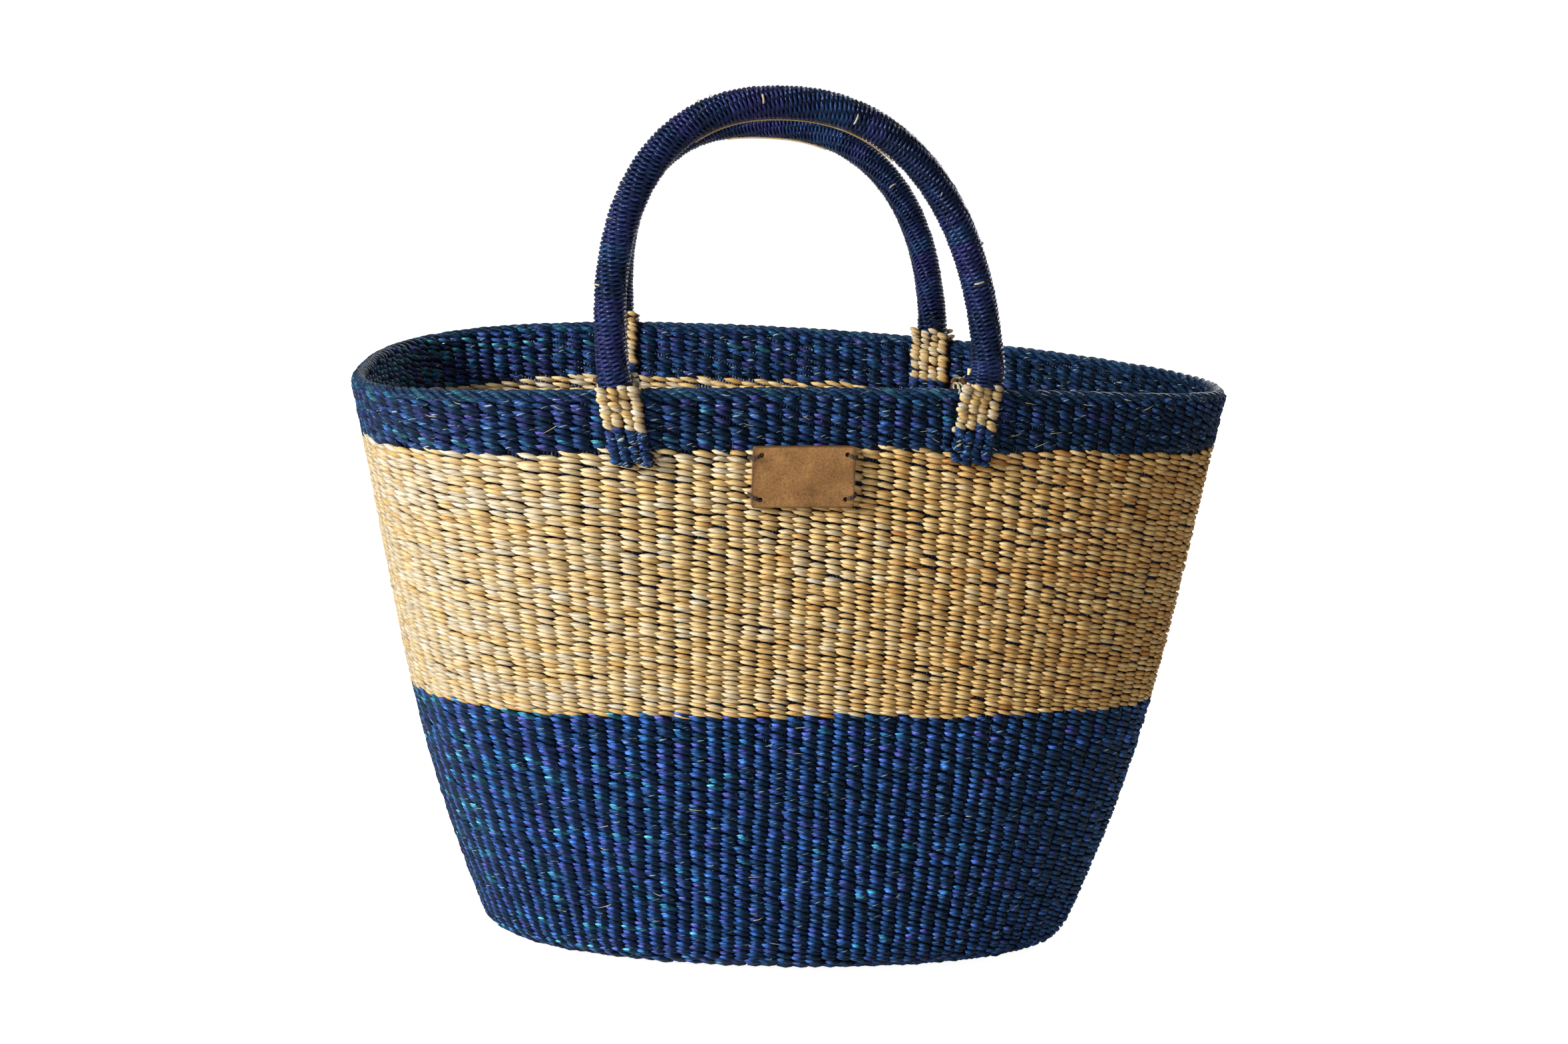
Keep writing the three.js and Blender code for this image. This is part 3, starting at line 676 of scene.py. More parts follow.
# %% Dyed straw
NAVY_TINTS = [
    (0.0, (0.004, 0.016, 0.040)),
    (0.3, (0.007, 0.025, 0.070)),
    (0.55, (0.010, 0.034, 0.110)),
    (0.7, (0.026, 0.027, 0.120)),
    (0.8, (0.016, 0.055, 0.190)),
    (0.92, (0.014, 0.090, 0.160)),
    (1.0, (0.040, 0.180, 0.240)),
]
UPPER_FADE = (0.9, 0.75, 0.68)
DYED_FIBRES = [(0.0, (0.15, 0.25, 0.35)), (0.5, (0.6, 0.7, 0.8)), (1.0, (2.6, 2.6, 2.4))]
DYED_MAP = {
    "Lengthwise": 1.2,
    "Crosswise": 7.0,
    "Twist": 1.2,
    "Fleck Size": 1.6,
    "Fleck Share": 0.72,
}
BLUE_GLOSS = (0.35, 0.62, 1.0)

navy = straw_material(
    "straw_navy",
    tints=NAVY_TINTS,
    fibres=DYED_FIBRES,
    # Painted light along the stitch: a strong painted highlight on its first part and painted shade,
    # nearly black, where it dives.
    painted_highlight_and_shade=[
        (0.0, 0.8),
        (0.1, (2.7, 2.7, 2.8)),
        (0.28, (2.1, 2.1, 2.2)),
        (0.42, (0.2, 0.3, 0.3)),
        (1.0, (0.02, 0.05, 0.05)),
    ],
    fleck=(0.25, 0.38, 0.40),
    fibre_map=DYED_MAP,
    roughness=0.3,
    specular=0.31,
    gloss=BLUE_GLOSS,
)
upper_navy = straw_material(
    "straw_navy_upper",
    tints=[(at, tuple(np.multiply(UPPER_FADE, colour).tolist())) for at, colour in NAVY_TINTS],
    fibres=DYED_FIBRES,
    # Painted light along the stitch: a weaker painted highlight on its first part and painted shade
    # where it dives.
    painted_highlight_and_shade=[
        (0.0, 0.8),
        (0.1, (2.0, 2.0, 2.1)),
        (0.28, (1.7, 1.7, 1.8)),
        (0.45, (0.4, 0.5, 0.5)),
        (1.0, (0.05, 0.10, 0.10)),
    ],
    fleck=(0.30, 0.42, 0.46),
    fibre_map={**DYED_MAP, "Fleck Size": 1.7, "Fleck Share": 0.70},
    roughness=0.36,
    specular=0.21,
    gloss=(0.45, 0.65, 0.9),
)
tab_navy = straw_material(
    "tab_straw",
    tints=NAVY_TINTS,
    fibres=[(0.0, (0.15, 0.25, 0.35)), (0.5, (0.6, 0.7, 0.8)), (1.0, (3.2, 3.2, 3.0))],
    # Painted highlight on the first part of each stitch and painted shade towards its end.
    painted_highlight_and_shade=[(0.0, 0.5), (0.15, 1.5), (0.4, 0.9), (0.6, (0.1, 0.15, 0.15))],
    fleck=(0.45, 0.50, 0.40),
    fibre_map={
        "Lengthwise": 1.6,
        "Crosswise": 6.0,
        "Twist": 1.2,
        "Fleck Size": 1.4,
        "Fleck Share": 0.66,
    },
    roughness=0.3,
    specular=0.3,
    gloss=BLUE_GLOSS,
)
stake_finish = straw_material(
    "straw_stakes",
    tints=NAVY_TINTS,
    fibres=[(0.0, (0.3, 0.3, 0.4)), (1.0, 1.6)],
    fleck=(0.22, 0.34, 0.38),
    fibre_map={
        "Lengthwise": 120.0,
        "Crosswise": 5.0,
        "Twist": 0.0,
        "Fleck Size": 0.8,
        "Fleck Share": 0.64,
    },
    roughness=0.4,
    specular=0.5,
)
print("dyed straw:", navy.name, upper_navy.name, tab_navy.name, "and", stake_finish.name)

# %% [markdown]
# The rim and the handles are long strands, and their map counts turns and not single stitches, so
# that their fibres need another scale. The strand on a handle is itself plied. Its plies are less
# than a millimetre wide, so they are left to a bump and to a ramp that paints shade in their
# grooves and a highlight on their crests.

# %% Dyed straw of the rim and the handles
rim_navy = straw_material(
    "rim_straw",
    tints=[
        (0.0, (0.004, 0.012, 0.032)),
        (0.6, (0.007, 0.024, 0.070)),
        (0.85, (0.010, 0.036, 0.090)),
        (1.0, (0.014, 0.060, 0.095)),
    ],
    fibres=[(0.0, (0.1, 0.2, 0.25)), (0.5, (0.5, 0.6, 0.65)), (1.0, (3.0, 3.2, 3.0))],
    fleck=(0.25, 0.42, 0.42),
    fibre_map={
        "Lengthwise": 3.0,
        "Crosswise": 9.0,
        "Twist": 3.0,
        "Fleck Size": 1.2,
        "Fleck Share": 0.70,
    },
    roughness=0.35,
    specular=0.4,
    gloss=BLUE_GLOSS,
    bump=0.9,
)
wound_navy = straw_material(
    "wound_straw",
    tints=[
        (0.0, (0.004, 0.011, 0.036)),
        (0.5, (0.006, 0.017, 0.060)),
        (0.8, (0.016, 0.016, 0.080)),
        (1.0, (0.010, 0.034, 0.095)),
    ],
    fibres=[(0.0, (0.3, 0.35, 0.4)), (0.5, (0.7, 0.7, 0.75)), (1.0, (2.2, 2.1, 1.9))],
    fleck=(0.40, 0.40, 0.34),
    fibre_map={
        "Lengthwise": 9.0,
        "Crosswise": 4.0,
        "Twist": 6.0,
        "Fleck Size": 1.2,
        "Fleck Share": 0.78,
        "Ply Turns": 9.0,
    },
    roughness=0.3,
    specular=0.4,
    gloss=(0.42, 0.5, 1.0),
    bump=0.8,
)
print("wound straw:", rim_navy.name, "and", wound_navy.name)

# %% [markdown]
# A loom gives the stitches their places. Each row has two strands that take turns on the
# outside, so the colour of a strand returns at every other column, and each strand ends after
# some stitches, where a new one with its own colour is laid in. A hand-made weave also wavers.
# Pure chance would look like noise, so slow waves are added to a seeded random generator. The
# tints fall towards the right as painted light from the left: paler on the left and browner in
# painted shade on the right.


# %% Lengths of straw and heights of rows
STRAW_STITCHES = (8, 26)
LONGEST_START = 20


def strand_tints(rng, rows, columns, strand_spread, spread):
    """A tint for each stitch, shared by the stitches of one length of straw."""
    tints = np.empty((rows, columns))
    for row in range(rows):
        for strand in range(2):
            column = -int(rng.integers(0, LONGEST_START))
            while column < columns:
                length = int(rng.integers(*STRAW_STITCHES))
                tint = 0.5 + strand_spread * rng.standard_normal()
                own = np.arange(max(column, 0), min(column + length, columns))
                own = own[own % 2 == strand]
                tints[row, own] = tint
                column += length
    tints += spread * rng.standard_normal(tints.shape)
    return np.clip(tints, 0, 1)


def spaced_runs(start, end, rows, growth):
    """The middle run of each row, with rows that get wider towards the top by the growth."""
    share = (np.arange(rows) + 0.5) / rows
    return start + (end - start) * (share - growth * share * (1 - share))


# %% The loom
COLUMN_WAVE = 0.05
COLUMN_PLAY = 0.04
WAVE_PER_ROW = 0.21
COLUMN_LIFT = 0.25
STITCH_LIFT = 0.12
ROW_WAVE = 0.2
ROW_WAVE_PER_COLUMN = 0.45
ROW_WAVE_PER_ROW = 0.13
DEPTH_PLAY = 0.12 * mm
PAINTED_LIGHT_FROM_LEFT = 1.0


def loom(quarter, pitch, runs, depth, facing, shape, spreads, seed):
    """The stitches of a band. The shape is length, width and thickness: the first two are shares
    of the column pitch and the row pitch, and the third is in metres."""
    rng = np.random.default_rng(seed)
    rows, count = len(runs), 4 * quarter
    row_pitch = np.gradient(runs)
    columns = np.arange(count)[None, :] + 0.5
    row_numbers = np.arange(rows)[:, None]
    phase = rng.random((1, count)) * 2 * math.pi
    columns = columns + COLUMN_WAVE * np.sin(row_numbers * WAVE_PER_ROW + phase)
    columns = columns + COLUMN_PLAY * rng.standard_normal((rows, count))
    points, along, outwards, local_pitch = wall_frames(columns, runs, quarter, pitch)
    up = np.cross(outwards, along)
    wave = COLUMN_LIFT * rng.standard_normal((1, count))
    wave = wave + STITCH_LIFT * rng.standard_normal((rows, count))
    wave += ROW_WAVE * np.sin(columns * ROW_WAVE_PER_COLUMN + row_numbers * ROW_WAVE_PER_ROW)
    points = points + up * (wave * row_pitch[:, None])[..., None]
    sink = depth + DEPTH_PLAY * rng.standard_normal((rows, count))
    points = points - outwards * sink[..., None]
    size = np.empty(points.shape)
    size[..., 0] = shape[0] * local_pitch
    size[..., 1] = shape[1] * row_pitch[:, None]
    size[..., 2] = shape[2]
    tints = strand_tints(rng, rows, count, *spreads)
    # Painted light from the left: the tints get paler to the left and browner to the right.
    tints = np.clip(tints - PAINTED_LIGHT_FROM_LEFT * points[..., 0], 0, 1)
    front = np.broadcast_to(np.isin(np.arange(count) // quarter, (0, 3)), (rows, count))
    places = dict(points=points, along=along * facing, outwards=outwards * facing)
    return dict(**places, size=size, tint=tints, front=front)


def weave(name, stitched, kind, seed, where=None):
    """The stitches of a loom as one piece, or those of them that a mask picks."""
    where = np.ones(stitched["tint"].shape, bool) if where is None else where
    picked = {label: values[where] for label, values in stitched.items()}
    vectors = {label: picked[label] for label in ("along", "outwards", "size")}
    obj = points_object(name, picked["points"], {"tint": picked["tint"]}, vectors)
    return grown(obj, stitches, {**kind["tree"], "Seed": seed, "Finish": kind["finish"]})


# %% [markdown]
# Navy straw is laid in steep, narrow stitches and natural straw in flatter, fuller ones. The
# columns get wider towards the rim, so the maker adds stakes between two bands, and the number of
# columns grows from band to band. Each band has an outer and an inner face of weft. Each face is
# made as a front and a back half, which keeps every mesh small.

# %% Kinds of stitches
KINDS = {
    "navy": dict(
        shape=(1.04, 1.1, 2.6 * mm),
        spreads=(0.16, 0.12),
        finish=navy,
        slot="straw_navy",
        tree={
            "Pointedness": 0.9,
            "Skew": 0.9,
            "Bulge": 1.0,
            "Tuck": 0.8,
            "Arch": 0.3,
            "Slant": 20 * degree,
            "Slant Play": 5 * degree,
            "Size Play": 0.1,
        },
    ),
    "natural": dict(
        shape=(1.16, 1.06, 2.7 * mm),
        spreads=(0.08, 0.07),
        finish=natural,
        slot="straw_natural",
        tree={
            "Pointedness": 0.95,
            "Skew": 0.9,
            "Bulge": 0.9,
            "Tuck": 0.8,
            "Arch": 0.35,
            "Slant": 13 * degree,
            "Slant Play": 4 * degree,
            "Size Play": 0.1,
        },
    ),
}
KINDS["upper navy"] = {**KINDS["navy"], "finish": upper_navy}
print("kinds of stitches:", ", ".join(KINDS))

# %% Bands of the wall
FRONT_PITCH = 8.85 * mm
LOWER_PITCH = 8.55 * mm
OUTER_SINK = 1.7 * mm
INNER_SINK = WALL_THICKNESS - OUTER_SINK
CORNER_SINK = 0.4 * mm
CORNER_SINK_REACH = 35 * mm
SEAM_GAP = 2 * mm
BANDS = {
    "lower": dict(
        kind="navy",
        quarter=27,
        pitch=LOWER_PITCH,
        start=CORNER_RUN - 10 * mm,
        end=LOWER_BAND_RUN,
        rows=50,
        growth=0.05,
        stakes=(SEAM_RUN + SEAM_GAP, LOWER_BAND_RUN, 16),
    ),
    "middle": dict(
        kind="natural",
        quarter=31,
        pitch=FRONT_PITCH,
        start=LOWER_BAND_RUN,
        end=UPPER_BAND_RUN,
        rows=50,
        growth=0.12,
        stakes=(LOWER_BAND_RUN, UPPER_BAND_RUN, 8),
    ),
    "upper": dict(
        kind="upper navy",
        quarter=35,
        pitch=FRONT_PITCH,
        start=UPPER_BAND_RUN,
        end=BORDER_RUN + 2 * mm,
        rows=9,
        growth=0.0,
        stakes=(UPPER_BAND_RUN, BORDER_RUN, 3),
    ),
}

seed = 100
for band_name, band in BANDS.items():
    kind = KINDS[band["kind"]]
    runs = spaced_runs(band["start"], band["end"], band["rows"], band["growth"])
    for face, facing, sink in (("outer", 1, OUTER_SINK), ("inner", -1, INNER_SINK)):
        seed += 10
        if band_name == "lower" and face == "outer":
            reach = (runs[0], runs[0] + CORNER_SINK_REACH)
            sink = np.interp(runs, reach, (CORNER_SINK, OUTER_SINK))[:, None]
        stitched = loom(
            band["quarter"], band["pitch"], runs, sink, facing, kind["shape"], kind["spreads"], seed
        )
        for half, where in (("front", stitched["front"]), ("back", ~stitched["front"])):
            piece = weave(f"{band_name}_{face}_weave_{half}", stitched, kind, seed, where)
            finish_piece(piece, "basket", kind["slot"], f"{band_name}_{face}_weft")

# %% [markdown]
# Many things on a basket are a straw that follows a line: the stakes behind the weave, the ties of
# the patch, the loops at the feet of the handles and the stray ends. Bevelled curves would do, but
# each would need its own settings. One tree sweeps a round section along every line of a mesh,
# with a thickness and a tint read from its points.


# %% The tree for straws along lines
def straw_tree():
    """A round straw along every line."""
    inputs = [("Sides", "Int", 6), ("Finish", "Material", None)]
    tree, given = geometry_tree("Straws along lines", inputs)
    curve = add_node(tree, "GeometryNodeMeshToCurve", {0: given["Geometry"]}).outputs[0]
    curve = stored(tree, curve, "along_it", spline_parameter(tree, "Length"))
    curve = with_radius(tree, curve, named(tree, "girth"))
    tube = swept(tree, curve, section_arc(tree, given["Sides"], 1.0), caps=True)
    return close_tree(tree, tube, given["Finish"])


straws = straw_tree()
print("the straw tree has", len(straws.nodes), "nodes")


def straw_lines(name, lines, girths, tints, finish, sides=6):
    """Straws along the given lines, each an array of points, with a radius for all or each."""
    points, edges, girth, tint = [], [], [], []
    for line, own_girth, own_tint in zip(lines, girths, tints):
        first = sum(len(each) for each in points)
        points.append(np.asarray(line))
        edges += [(first + i, first + i + 1) for i in range(len(line) - 1)]
        girth.append(np.broadcast_to(own_girth, len(line)))
        tint.append(np.full(len(line), own_tint))
    floats = {"girth": np.concatenate(girth), "tint": np.concatenate(tint)}
    obj = points_object(name, np.concatenate(points), floats, edges=edges)
    return grown(obj, straws, {"Sides": sides, "Finish": finish})


# %% [markdown]
# The stakes stand between the two faces of weft. They could be flat strips, since they show only
# as short dark lines in the slits of the weave, but a slit also shows that each is a bundle. Five
# thin straws side by side are enough, with every second one a little further out.

# %% Stakes
STRAWS_PER_STAKE = 5
STAKE_STRAW_RADIUS = 1.0 * mm
STAKE_SPREAD = 1.78 * mm
STAKE_STAGGER = 0.4 * mm
STAKE_TOP_TINT = 0.9


def stake_lines(quarter, pitch, start, end, steps):
    """The straws of all stakes of a band: a line of points for each."""
    runs = np.linspace(start, end, steps)
    lines = []
    for straw in range(STRAWS_PER_STAKE):
        shift = (straw - (STRAWS_PER_STAKE - 1) / 2) * STAKE_SPREAD / FRONT_PITCH
        columns = np.arange(4 * quarter)[None, :] + 0.5 + shift
        columns = np.broadcast_to(columns, (steps, 4 * quarter))
        points, _, outwards, _ = wall_frames(columns, runs, quarter, pitch)
        depth = WALL_THICKNESS / 2 - (STAKE_STAGGER if straw % 2 else 0)
        points = points - outwards * depth
        lines += list(points.transpose(1, 0, 2))
    return lines


rng = np.random.default_rng(7)
lines = []
for band in BANDS.values():
    lines += stake_lines(band["quarter"], band["pitch"], *band["stakes"])
tints = rng.random(len(lines)) * STAKE_TOP_TINT
stakes = straw_lines("stakes", lines, [STAKE_STRAW_RADIUS] * len(lines), tints, stake_finish, 4)
finish_piece(stakes, "basket", "straw_stakes", "stake_frame")

# %% [markdown]
# The base is twined like the wall, in rows round a seam that lies along its middle. The same loom
# makes it, with runs that are negative inside the edge of the base. Its outer face lies deepest at
# the seam and comes out towards the edge, so that the basket stands on its outer rows.

# %% Base
BASE_QUARTER = 21
BASE_ROW = 3.3 * mm
BASE_HOLLOW = 1.2 * mm
base_runs = np.arange(SEAM_RUN + SEAM_GAP, CORNER_RUN - 9 * mm, BASE_ROW)
kind = KINDS["navy"]
edge_share = np.clip(base_runs / base_runs[-1], 0, 1)[:, None]
base_sink = OUTER_SINK + BASE_HOLLOW * (1 - 2 * edge_share)
for face, facing, sink in (("outer", 1, base_sink), ("inner", -1, INNER_SINK)):
    stitched = loom(
        BASE_QUARTER, None, base_runs, sink, facing, kind["shape"], kind["spreads"], 41 + facing
    )
    piece = weave(f"base_{face}_weave", stitched, kind, 43 + facing)
    finish_piece(piece, "basket", kind["slot"], f"base_{face}_weft")

# %% [markdown]
# A handle is wound: one strand of straw runs round it in close turns. The rim is a rope of four
# strands. Rings side by side would look much the same from afar, but a wound strand has a slant
# and never closes. Both are strands that circle a middle line, so one tree makes them. It samples
# the middle line for its place and directions, and adds the circle of each strand.


# %% The tree for wound strands
def winding_tree():
    """Strands that circle a middle line."""
    tree, given = geometry_tree(
        "Wound strands",
        [
            ("Turns", "Float", 100.0),
            ("Strands", "Int", 1),
            ("Stations", "Int", 1600),
            ("Sides", "Int", 6),
            ("Strand Radius", "Float", 1.7 * mm),
            ("Wobble", "Float", 0.3 * mm),
            ("Straw Length", "Float", 6.0),
            ("Seed", "Int", 1),
            ("Finish", "Material", None),
        ],
    )
    middle = add_node(tree, "GeometryNodeMeshToCurve", {0: given["Geometry"]}).outputs[0]
    strand = straight_curve(tree, (0, 0, 0), (1, 0, 0), given["Stations"])
    inputs = {"Geometry": strand, "Amount": given["Strands"]}
    copies = add_node(tree, "GeometryNodeDuplicateElements", inputs, domain="SPLINE").outputs
    factor = spline_parameter(tree)
    turn = times(tree, factor, given["Turns"])
    share = calculate(tree, "DIVIDE", copies["Duplicate Index"], given["Strands"])
    angle = times(tree, plus(tree, turn, share), 2 * math.pi)
    inputs = {"Curves": middle, "Value": named(tree, "girth"), "Factor": factor}
    kind = "GeometryNodeSampleCurve"
    sample = add_node(tree, kind, inputs, mode="FACTOR", use_all_curves=True).outputs
    normal, tangent = sample["Normal"], sample["Tangent"]
    side = vector_math(tree, "CROSS_PRODUCT", tangent, normal)

    step = combined(tree, turn, times(tree, share, 7.0), given["Seed"])
    waver = noise(tree, step, 1.7, 2.0)["Color"]
    waver = add_node(tree, "ShaderNodeSeparateXYZ", {0: waver}).outputs
    sway = times(tree, minus(tree, waver[0], 0.5), given["Wobble"])
    swell = times(tree, minus(tree, waver[1], 0.5), given["Wobble"])
    girth = plus(tree, sample["Value"], swell)
    across = scaled(tree, normal, times(tree, girth, calculate(tree, "COSINE", angle)))
    upwards = scaled(tree, side, times(tree, girth, calculate(tree, "SINE", angle)))
    circle = vector_math(tree, "ADD", across, upwards)
    place = vector_math(tree, "ADD", sample["Position"], circle)
    place = vector_math(tree, "ADD", place, scaled(tree, tangent, sway))

    strand = stored(tree, copies[0], "along_it", turn)
    straw = calculate(tree, "DIVIDE", turn, given["Straw Length"])
    straw = calculate(tree, "FLOOR", plus(tree, straw, times(tree, share, 17.3)))
    strand = stored(tree, strand, "tint", random_value(tree, given["Seed"], own=straw))
    inputs = {"Geometry": strand, "Position": place}
    strand = add_node(tree, "GeometryNodeSetPosition", inputs).outputs[0]
    strand = with_radius(tree, strand, given["Strand Radius"])
    tube = swept(tree, strand, section_arc(tree, given["Sides"], 1.0), caps=True)
    return close_tree(tree, tube, given["Finish"])


windings = winding_tree()
print("the winding tree has", len(windings.nodes), "nodes")


def middle_line(name, points, girth, closed=False):
    """A line of points with the radius at which the strands circle it."""
    count = len(points)
    edges = [(i, (i + 1) % count) for i in range(count if closed else count - 1)]
    return points_object(name, points, {"girth": np.broadcast_to(girth, count)}, edges=edges)


# %% [markdown]
# At the rim the ends of the stakes are plaited down over the last row. From outside that looks
# like a rope laid on the edge, so the rim is four strands wound round a line inside the wall's
# top. A real plait would take many more crossings that nobody would see.

# %% Rim
RIM_LAY = 26 * mm
RIM_DROP = 3.9 * mm
RIM_CIRCLE = 2.15 * mm
RIM_TREE = {
    "Strands": 4,
    "Stations": 900,
    "Sides": 7,
    "Strand Radius": 1.65 * mm,
    "Wobble": 1.2 * mm,
    "Straw Length": 1.7,
    "Seed": 5,
    "Finish": rim_navy,
}
quarter = BANDS["upper"]["quarter"]
rim_columns = np.arange(8 * quarter)[None, :] / 2
points, _, outwards, _ = wall_frames(rim_columns, [RIM_RUN - RIM_DROP], quarter, FRONT_PITCH)
rim_line = (points - outwards * WALL_THICKNESS / 2)[0]
rim_length = np.linalg.norm(np.diff(np.vstack([rim_line, rim_line[:1]]), axis=0), axis=1).sum()
rim = middle_line("rim_rope", rim_line, RIM_CIRCLE, closed=True)
grown(rim, windings, {**RIM_TREE, "Turns": float(round(rim_length / RIM_LAY))})
finish_piece(rim, "basket", "straw_navy", "rim_border")
print("the rim is", round(rim_length, 3), "m round")

# %% [markdown]
# Handles, tabs and the patch are sewn on where the maker's eye puts them and not at a column, so
# they are placed by their x. Columns could be searched for each x, but reading the outline there
# is simpler.


# %% Places on the front and the back by their x
def face_points(side, x, runs):
    """The outer face of the front or the back at each run and each x."""
    lines = outlines(runs)
    quarter_steps = OUTLINE_STEPS // 4
    if side == "front":
        lines = np.concatenate([lines[:, 3 * quarter_steps : -1], lines[:, : quarter_steps + 1]], 1)
    else:
        lines = lines[:, quarter_steps : 3 * quarter_steps + 1][:, ::-1]
    x = np.broadcast_to(x, (len(lines), np.shape(x)[-1]))
    placed = np.empty(x.shape + (3,))
    for row, line in enumerate(lines):
        placed[row, :, 0] = x[row]
        for axis in (1, 2):
            placed[row, :, axis] = np.interp(x[row], line[:, 0], line[:, axis])
    return placed


def face_frames(side, x, runs):
    """Points there, with the directions to the right and outwards as seen from outside."""
    step = 3 * mm
    x, runs = np.asarray(x, float), np.asarray(runs, float)
    points = face_points(side, x, runs)
    right = face_points(side, x + step, runs) - face_points(side, x - step, runs)
    up = face_points(side, x, runs + step) - face_points(side, x, runs - step)
    along = unit(right if side == "front" else -right)
    return points, along, unit(np.cross(along, up))


def face_place(side, x, run):
    """One point there, with its two directions."""
    points, along, outwards = face_frames(side, [x], [run])
    return points[0, 0], along[0, 0], outwards[0, 0]


def rim_middle(side, x):
    """The point on the rim at x, halfway between the two faces of the wall."""
    point, _, outward = face_place(side, x, RIM_RUN)
    return point - outward * WALL_THICKNESS / 2


# %% [markdown]
# A handle is a stiff arch with a soft foot, which lets it swing. It could be modelled straight and
# bent, but a superellipse gives the arch at once, with flat shoulders and a lean to one side as in
# the photograph. Its winding swells a little at each foot.

# %% Sizes of the handles and their tabs
HANDLES = {
    "front": dict(
        left=-97 * mm,
        right=100 * mm,
        foot_shifts=(-1 * mm, 3 * mm),
        rise=141 * mm,
        lean=3,
        shift=-0.125,
        squareness=2.3,
        flare=(0.8 * mm, 3.0 * mm),
        tab_shifts=(1.5 * mm, -3.5 * mm),
        tab_leans=(8 * mm, -3.5 * mm),
    ),
    "back": dict(
        left=-105 * mm,
        right=90 * mm,
        foot_shifts=(0, 0),
        rise=124 * mm,
        lean=22,
        shift=-0.14,
        squareness=2.45,
        flare=(0.5 * mm, 1.0 * mm),
        tab_shifts=(0, 0),
        tab_leans=(1 * mm, -1 * mm),
    ),
}
HINGE_LIFT = 8.9 * mm
FOOT_LIFT = 1.2 * mm
FLARE_LENGTH = 26 * mm
FLARE_POWER = 1.5
WRAP_RADIUS = 8.7 * mm
WRAP_PITCH = 2.35 * mm
WRAP_STRAND_RADIUS = 1.25 * mm
STATIONS_PER_TURN = 14
ARCH_STEPS = 161
LINE_STEPS = 140
SMOOTHINGS = 6
WRAP_TREE = {
    "Strands": 1,
    "Sides": 6,
    "Strand Radius": WRAP_STRAND_RADIUS,
    "Wobble": 1.0 * mm,
    "Straw Length": 4.0,
    "Seed": 3,
    "Finish": wound_navy,
}
print("a handle is", round(2000 * WRAP_RADIUS, 1), "mm thick")


# %% Handles
def handle_line(side, handle):
    """The middle line of a handle from rim to rim, with its length and its left hinge point."""
    feet, hinges = [], []
    for x, foot_shift in zip((handle["left"], handle["right"]), handle["foot_shifts"]):
        feet.append(rim_middle(side, x) + (0, 0, FOOT_LIFT))
        hinges.append(rim_middle(side, x + foot_shift) + (0, 0, HINGE_LIFT))
    left, right = hinges
    along = unit(right - left)
    upright = unit(np.array((0, 0, 1)) - along * along[2])
    outwards = np.cross(along, upright) * (1 if side == "front" else -1)
    lean = handle["lean"] * degree
    upwards = upright * math.cos(lean) + outwards * math.sin(lean)
    angle = np.linspace(0, math.pi, ARCH_STEPS)
    power = 2 / handle["squareness"]
    c = -np.cos(angle)
    up = np.maximum(np.sin(angle), 0) ** power * handle["rise"]
    across = np.sign(c) * np.abs(c) ** power * np.linalg.norm(right - left) / 2
    across = across + handle["shift"] * up
    arch = (left + right) / 2 + across[:, None] * along + up[:, None] * upwards
    line = np.vstack([feet[0], arch, feet[1]])
    length = np.concatenate([[0], np.cumsum(np.linalg.norm(np.diff(line, axis=0), axis=1))])
    at = np.linspace(0, length[-1], LINE_STEPS)
    line = np.stack([np.interp(at, length, line[:, axis]) for axis in range(3)], -1)
    for _ in range(SMOOTHINGS):
        line[1:-1] = (line[:-2] + 2 * line[1:-1] + line[2:]) / 4
    return line, length[-1], left


handle_lines = {}
for side, handle in HANDLES.items():
    line, length, hinge = handle_line(side, handle)
    handle_lines[side] = line
    share = np.linspace(0, 1, len(line))
    girth = np.full(len(line), WRAP_RADIUS - WRAP_STRAND_RADIUS)
    for flare, away in zip(handle["flare"], (share * length, (1 - share) * length)):
        girth += flare * np.clip(1 - away / FLARE_LENGTH, 0, 1) ** FLARE_POWER
    wrap = middle_line(f"{side}_handle_winding", line, girth)
    turns = round(length / WRAP_PITCH)
    stations = turns * STATIONS_PER_TURN
    grown(wrap, windings, {**WRAP_TREE, "Turns": float(turns), "Stations": stations})
    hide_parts(f"{side}_handle_wrap", f"{side}_handle_core")
    x, y = hinge[:2]
    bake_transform(wrap)
    print(wrap.name, turns, "turns,", round(length * 1000), "mm,", len(wrap.data.polygons), "faces")

# %% [markdown]
# A string of natural straw shows along the inner side of each arch, and here and there a pale
# fibre breaks out of the winding. Both could be painted on, but as thin straws they catch the
# light.

